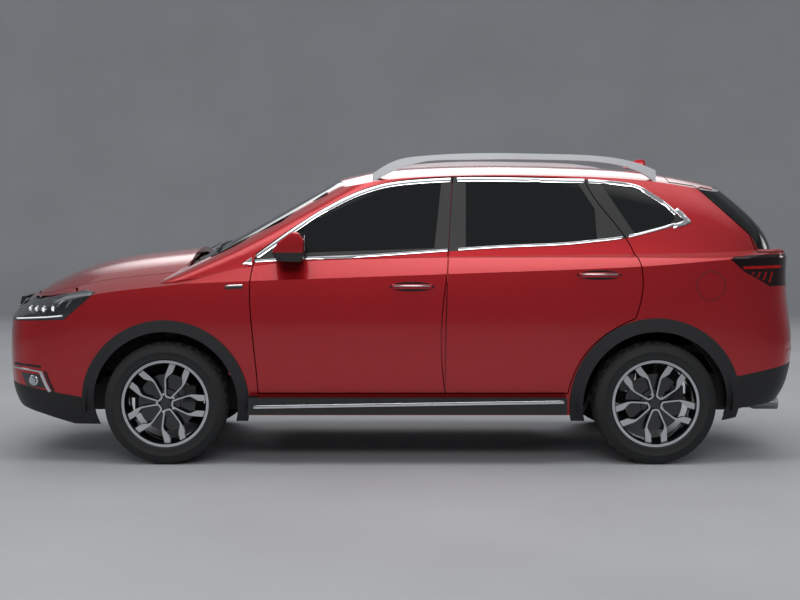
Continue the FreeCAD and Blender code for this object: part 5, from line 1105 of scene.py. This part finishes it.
# %% Seats
def stuff(name, node, channels, rows, cell):
    """A padded piece in the place of a CAD seat, with sewn channels at given sides y and heights z."""
    mesh = bpy.data.meshes.new(name)
    bm = bmesh.new()
    bm.from_mesh(nodes[node].data)
    bmesh.ops.remove_doubles(bm, verts=bm.verts, dist=0.00005)
    bm.normal_update()
    for v in bm.verts:
        v.co -= v.normal * 0.006
    bm.to_mesh(mesh)
    bm.free()
    seat = bpy.data.objects.new(name, mesh)
    bpy.context.scene.collection.objects.link(seat)
    skin = seat.modifiers.new("skin", "REMESH")
    skin.mode = "VOXEL"
    skin.voxel_size = cell
    graph = bpy.context.evaluated_depsgraph_get()
    even = bpy.data.meshes.new_from_object(seat.evaluated_get(graph))
    seat.modifiers.clear()
    seat.data = even
    start = [v.co.copy() for v in even.vertices]
    cloth = seat.modifiers.new("stuffing", "CLOTH")
    cloth.settings.quality = 4
    cloth.settings.use_pressure = True
    cloth.settings.uniform_pressure_force = 4
    cloth.settings.effector_weights.gravity = 0
    for moment in range(1, 21):
        bpy.context.scene.frame_set(moment)
    graph = bpy.context.evaluated_depsgraph_get()
    swollen = bpy.data.meshes.new_from_object(seat.evaluated_get(graph))
    seat.modifiers.clear()
    for vertex, before in zip(swollen.vertices, start):
        move = vertex.co - before
        if move.length > 0.020:
            vertex.co = before + move * (0.020 / move.length)
    seat.data = swollen
    bm = bmesh.new()
    bm.from_mesh(seat.data)
    bmesh.ops.smooth_vert(bm, verts=bm.verts, factor=0.5, use_axis_x=True, use_axis_y=True, use_axis_z=True)
    bmesh.ops.subdivide_edges(bm, edges=bm.edges, cuts=1, use_grid_fill=True)
    bmesh.ops.smooth_vert(bm, verts=bm.verts, factor=0.5, use_axis_x=True, use_axis_y=True, use_axis_z=True)
    bm.normal_update()
    for v in bm.verts:
        groove = sum(math.exp(-((v.co.y - y) / 0.006) ** 2) for y in channels)
        groove += sum(math.exp(-((v.co.z - z) / 0.006) ** 2) for z in rows if v.normal.x < -0.3)
        if v.normal.z > -0.2 and abs(v.normal.y) < 0.7:
            v.co -= v.normal * 0.006 * min(1, groove)
    for face in bm.faces:
        face.smooth = True
    bm.to_mesh(seat.data)
    bm.free()
    seat.data.materials.clear()
    seat.data.materials.append(leather)
    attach(seat, "body")
    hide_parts(node)
    print(name, "has", len(seat.data.polygons), "faces")
    return seat


for side, sign in SIDES.items():
    middle = sign * 0.370
    stuff(f"seat_cushions_{side}", f"seat_front_{side}", [middle - 0.13, middle + 0.13], [0.78, 0.90, 1.02],
          0.016)
stuff("seat_cushions_rear", "seat_rear", [-0.36, -0.20, 0.20, 0.36], [0.80, 0.92, 1.04], 0.019)

# %% [markdown]
# The cabin shows through the glass and past the open doors. The dashboard gets a display, four air
# vents and a hooded pair of dials, and each door a trim card with an armrest.


# %% Cabin details
def box_piece(name, centre, size, body, material, soft=0.004, tilt=0.0, pair=False):
    """A block with well rounded edges, tilted about the Y axis, alone or on both sides."""
    bm = bmesh.new()
    bmesh.ops.create_cube(bm, size=1,
                          matrix=Matrix.Translation(centre) @ Matrix.Rotation(math.radians(tilt), 4, "Y")
                          @ Matrix.Diagonal((*size, 1)))
    soften(bm, soft, 3)
    if pair:
        return both_sides(name, bm, body, material)
    return piece(name, bm, body, material)


box_piece("display_frame", (-0.540, 0.0, 1.045), (0.020, 0.250, 0.150), "body", gloss_black, 0.006,
          -14)
box_piece("display_face", (-0.5285, 0.0, 1.0465), (0.004, 0.232, 0.132), "body", screen_face,
          0.0015, -14)
box_piece("dial_hood", (-0.640, -0.370, 1.085), (0.140, 0.330, 0.040), "body", cabin_trim, 0.015, 6)
box_piece("dial_face", (-0.585, -0.370, 1.030), (0.006, 0.290, 0.100), "body", screen_face, 0.002,
          -18)
dash = surface("dashboard")
for number, (y, z) in enumerate(((-0.670, 0.985), (-0.165, 0.930), (0.165, 0.930), (0.670, 0.985))):
    hit = dash.ray_cast(Vector((0.4, y, z)), Vector((-1, 0, 0)))[0]
    bm = bmesh.new()
    bmesh.ops.create_cube(bm, size=1,
                          matrix=Matrix.Translation(hit) @ Matrix.Diagonal((0.018, 0.110, 0.060, 1)))
    soften(bm, 0.006, 2)
    piece(f"vent_frame_{number}", bm, "body", silver)
    bm = bmesh.new()
    for k in range(5):
        bmesh.ops.create_cube(bm, size=1,
                              matrix=Matrix.Translation(hit + Vector((0.009, 0, -0.020 + 0.010 * k)))
                              @ Matrix.Rotation(math.radians(25), 4,
                                                "Y") @ Matrix.Diagonal((0.010, 0.098, 0.003, 1)))
    piece(f"vent_slats_{number}", bm, "body", satin_black)
hit = dash.ray_cast(Vector((0.4, 0, 0.86)), Vector((-1, 0, 0)))[0]
box_piece("climate_panel", (hit.x, 0, 0.860), (0.016, 0.220, 0.060), "body", gloss_black, 0.004)
for number, y in enumerate((-0.080, 0.080)):
    bm = bmesh.new()
    bmesh.ops.create_cone(bm, cap_ends=True, segments=28, radius1=0.019, radius2=0.017, depth=0.020,
                          matrix=Matrix.Translation((hit.x + 0.014, y,
                                                     0.860)) @ Matrix.Rotation(math.radians(90), 4, "Y"))
    soften(bm, 0.002)
    piece(f"climate_knob_{number}", bm, "body", silver)
box_piece("inner_mirror", (-0.480, 0.0, 1.470), (0.022, 0.230, 0.062), "body", satin_black, 0.008,
          -12)
box_piece("inner_mirror_face", (-0.468, 0.0, 1.468), (0.002, 0.216, 0.050), "body", silver, 0.0008,
          -12)

cards = {
    "door_front": [(-0.740, 0.500), (0.170, 0.500), (0.200, 0.760), (0.215, 1.105), (-0.700, 1.060),
                   (-0.760, 0.800)],
    "door_rear": [(0.330, 0.500), (0.780, 0.500), (0.860, 0.660), (1.020, 0.800), (1.220, 0.890),
                  (1.200, 1.100),
                  (1.130, 1.155), (0.330, 1.120)],
}
for part, outline in cards.items():
    inner_face = surface(f"{part}_left")
    bm = panel(outline, 0.06)
    lay(bm, inner_face, 0.004, way=(0, -1, 0), start=0.2, feel=0.02)
    thicken(bm, (0, -0.010, 0))
    soften(bm, 0.003)
    both_sides(f"{part}_card", bm, part + "_{side}", cabin_trim)
    start, end = (-0.520, 0.130) if part == "door_front" else (0.400, 0.960)
    height = 0.800 if part == "door_front" else 0.850
    bm = band(smooth_line([(start, height), ((start + end) / 2, height + 0.008), (end, height)], 0.05),
              -0.060, rows=2)
    lay(bm, inner_face, 0.046, way=(0, -1, 0), start=0.2, feel=0.03)
    thicken(bm, (0, -0.040, 0))
    soften(bm, 0.012, 3)
    both_sides(f"{part}_armrest", bm, part + "_{side}", leather)
    bm = band(smooth_line([(start + 0.05, height + 0.120), (start + 0.17, height + 0.124)], 0.03), -0.028)
    lay(bm, inner_face, 0.022, way=(0, -1, 0), start=0.2, feel=0.02)
    thicken(bm, (0, -0.016, 0))
    soften(bm, 0.004)
    both_sides(f"{part}_release", bm, part + "_{side}", silver)

# %% [markdown]
# What is left is small: exhaust tips, rear reflectors, a high brake lamp, and the covers and
# bottles under the bonnet that show when it is open.

# %% Tail and engine bay details
ends = [v.co for v in nodes["exhaust"].data.vertices if v.co.x > 2.15 and v.co.y < 0]
tip_y = sum(co.y for co in ends) / len(ends)
tip_z = sum(co.z for co in ends) / len(ends)
tip_radius = max((math.hypot(co.y - tip_y, co.z - tip_z) for co in ends), default=0.03)
bm = bmesh.new()
profile = [(2.060, tip_radius + 0.002), (2.075, tip_radius + 0.008), (2.215, tip_radius + 0.009),
           (2.218, tip_radius + 0.006), (2.214, tip_radius + 0.003), (2.100, tip_radius + 0.001)]
loop = [bm.verts.new((x, tip_y, tip_z + r)) for x, r in profile]
edges = [bm.edges.new(pair) for pair in zip(loop, loop[1:] + loop[:1])]
bmesh.ops.spin(bm, geom=loop + edges, cent=(0, tip_y, tip_z), axis=(1, 0, 0), dvec=(0, 0, 0),
               angle=math.tau, steps=32,
               use_merge=True, use_duplicate=False)
both_sides("exhaust_tip", bm, "body", steel)
print("exhaust tips at", round(tip_y, 3), round(tip_z, 3), "radius", round(tip_radius, 3))

back = surface("rear_bumper", "tailgate")
bm = panel([(-0.170, 1.566), (0.170, 1.566), (0.170, 1.578), (-0.170, 1.578)], 0.26)
across(bm)
lay(bm, back, 0.002, way=(-1, 0, 0), start=4, feel=0.004)
thicken(bm, (-0.005, 0, 0))
soften(bm, 0.001)
piece("high_brake_lamp", bm, "tailgate", reflector)
bm = panel([(-0.780, 0.600), (-0.600, 0.600), (-0.600, 0.632), (-0.780, 0.632)], 0.03)
across(bm)
lay(bm, back, 0.002, way=(-1, 0, 0), start=4)
thicken(bm, (-0.004, 0, 0))
soften(bm, 0.001)
both_sides("rear_reflector", bm, "body", reflector)

box_piece("engine_cover", (-1.390, 0.0, 0.822), (0.360, 0.620, 0.040), "body", trim, 0.014)
bm = bmesh.new()
for k in range(7):
    bmesh.ops.create_cube(bm, size=1, matrix=Matrix.Translation((-1.390, -0.240 + 0.080 * k, 0.845))
                          @ Matrix.Diagonal((0.280, 0.016, 0.008, 1)))
soften(bm, 0.003)
piece("engine_cover_ribs", bm, "body", satin_black)
box_piece("battery", (-1.780, 0.360, 0.800), (0.170, 0.240, 0.110), "body", satin_black, 0.006)
box_piece("fuse_box", (-1.600, 0.480, 0.840), (0.130, 0.150, 0.060), "body", trim, 0.008)
box_piece("coolant_bottle", (-1.760, -0.400, 0.790), (0.150, 0.180, 0.120), "body", bottle_white,
          0.020)
bm = bmesh.new()
bmesh.ops.create_cone(bm, cap_ends=True, segments=32, radius1=0.034, radius2=0.032, depth=0.026,
                      matrix=Matrix.Translation((-1.760, -0.400, 0.862)))
soften(bm, 0.003)
piece("coolant_cap", bm, "body", satin_black)

# %% [markdown]
# The camera stands where the photographer stood: about nine metres out, abreast of the doors,
# at the height of a tripod, tilted a little down. The car stands in a round cove, a pale floor
# that curves up into the wall, so no horizon shows from any side. Lamps are soft boxes as in a
# studio for cars: a long one overhead draws the bright band along the shoulder, and others fill
# the flank, nose and tail at a plain level.

# %% Camera, floor and light
camera = bpy.data.objects.new("camera", bpy.data.cameras.new("camera"))
camera.data.lens = 65.9
camera.data.sensor_width = 36.0
camera.location = (-0.0175, -8.90, 1.35)
camera.rotation_euler = (math.radians(90 - 3.144), 0, 0)
bpy.context.scene.collection.objects.link(camera)
bpy.context.scene.camera = camera
bpy.context.scene.view_settings.view_transform = "Standard"

floor_finish, _ = finish("studio floor", "#B4B6B9", Roughness=0.62)
grain(floor_finish, 20, 0.3, "#ABADB0", "#BBBDC0", detail=4.0)
bm = bmesh.new()
cove = [(0, 0), (6, 0), (13, 0), (14.5, 0.3), (15.6, 1.0), (16.5, 2.2), (17.0, 4.0), (17.0, 11.0)]
rim = [bm.verts.new((r, 0, z)) for r, z in cove]
edges = [bm.edges.new(pair) for pair in zip(rim, rim[1:])]
bmesh.ops.spin(bm, geom=rim + edges, cent=(0, 0, 0), axis=(0, 0, 1), dvec=(0, 0, 0), angle=math.tau, steps=96,
               use_merge=True, use_duplicate=False)
bmesh.ops.remove_doubles(bm, verts=bm.verts, dist=0.0001)
bmesh.ops.recalc_face_normals(bm, faces=bm.faces)
for face in bm.faces:
    face.smooth = True
floor_mesh = bpy.data.meshes.new("floor")
bm.to_mesh(floor_mesh)
bm.free()
floor_mesh.materials.append(floor_finish)
floor = bpy.data.objects.new("floor", floor_mesh)
bpy.context.scene.collection.objects.link(floor)


def soft_box(name, place, aim, width, depth, power):
    """A lamp behind cloth: brightest in the middle and dark at its rim, so its reflection has no edge."""
    lamp = bpy.data.lights.new(name, "AREA")
    lamp.shape = "RECTANGLE"
    lamp.size = width
    lamp.size_y = depth
    lamp.energy = power
    lamp.use_nodes = True
    tree = lamp.node_tree
    spot = tree.nodes.new("ShaderNodeNewGeometry")
    split = tree.nodes.new("ShaderNodeSeparateXYZ")
    tree.links.new(spot.outputs["Parametric"], split.inputs[0])
    fades = []
    for axis in ("X", "Y"):
        turn = tree.nodes.new("ShaderNodeMath")
        turn.operation = "MULTIPLY"
        turn.inputs[1].default_value = math.pi
        wave = tree.nodes.new("ShaderNodeMath")
        wave.operation = "SINE"
        tree.links.new(split.outputs[axis], turn.inputs[0])
        tree.links.new(turn.outputs[0], wave.inputs[0])
        fades.append(wave.outputs[0])
    fade = tree.nodes.new("ShaderNodeMath")
    fade.operation = "MULTIPLY"
    level = tree.nodes.new("ShaderNodeMath")
    level.operation = "MULTIPLY"
    level.inputs[1].default_value = math.pi ** 2 / 4
    tree.links.new(fades[0], fade.inputs[0])
    tree.links.new(fades[1], fade.inputs[1])
    tree.links.new(fade.outputs[0], level.inputs[0])
    tree.links.new(level.outputs[0], tree.nodes["Emission"].inputs["Strength"])
    box = bpy.data.objects.new(name, lamp)
    box.location = place
    box.rotation_euler = (Vector(aim) - Vector(place)).to_track_quat("-Z", "Y").to_euler()
    bpy.context.scene.collection.objects.link(box)


soft_box("overhead", (0, -2.3, 5.6), (0, -0.4, 0.9), 10.0, 3.2, 130)
soft_box("side", (0, -12.0, 6.5), (0, 0, 0.6), 12.0, 3.0, 420)
soft_box("top", (0.2, 1.6, 6.6), (0.2, 0.4, 1.0), 9.0, 5.0, 70)
soft_box("nose", (-10, -3, 3.8), (-1.5, 0, 0.6), 5.0, 3.4, 110)
soft_box("tail", (10, 3, 3.8), (1.5, 0, 0.8), 5.0, 3.4, 110)
soft_box("far side", (0, 9.5, 5.6), (0, 0, 0.9), 11.0, 3.6, 200)
world = bpy.data.worlds.new("studio")
bpy.context.scene.world = world
world.use_nodes = True
tree = world.node_tree
tree.nodes.clear()
rays = tree.nodes.new("ShaderNodeLightPath")
seen = tree.nodes.new("ShaderNodeMath")
seen.operation = "MAXIMUM"
seen_too = tree.nodes.new("ShaderNodeMath")
seen_too.operation = "MAXIMUM"
dim = tree.nodes.new("ShaderNodeBackground")
dim.inputs["Color"].default_value = linear("#E9ECF0")
dim.inputs["Strength"].default_value = 0.45
pale = tree.nodes.new("ShaderNodeBackground")
pale.inputs["Color"].default_value = linear("#B9BBBE")
pale.inputs["Strength"].default_value = 0.7
both = tree.nodes.new("ShaderNodeMixShader")
out = tree.nodes.new("ShaderNodeOutputWorld")
tree.links.new(rays.outputs["Is Camera Ray"], seen.inputs[0])
tree.links.new(rays.outputs["Is Glossy Ray"], seen.inputs[1])
tree.links.new(seen.outputs[0], seen_too.inputs[0])
tree.links.new(rays.outputs["Is Transmission Ray"], seen_too.inputs[1])
tree.links.new(seen_too.outputs[0], both.inputs[0])
tree.links.new(dim.outputs[0], both.inputs[1])
tree.links.new(pale.outputs[0], both.inputs[2])
tree.links.new(both.outputs[0], out.inputs["Surface"])

# %% Back to the first frame
bpy.context.scene.frame_set(1)
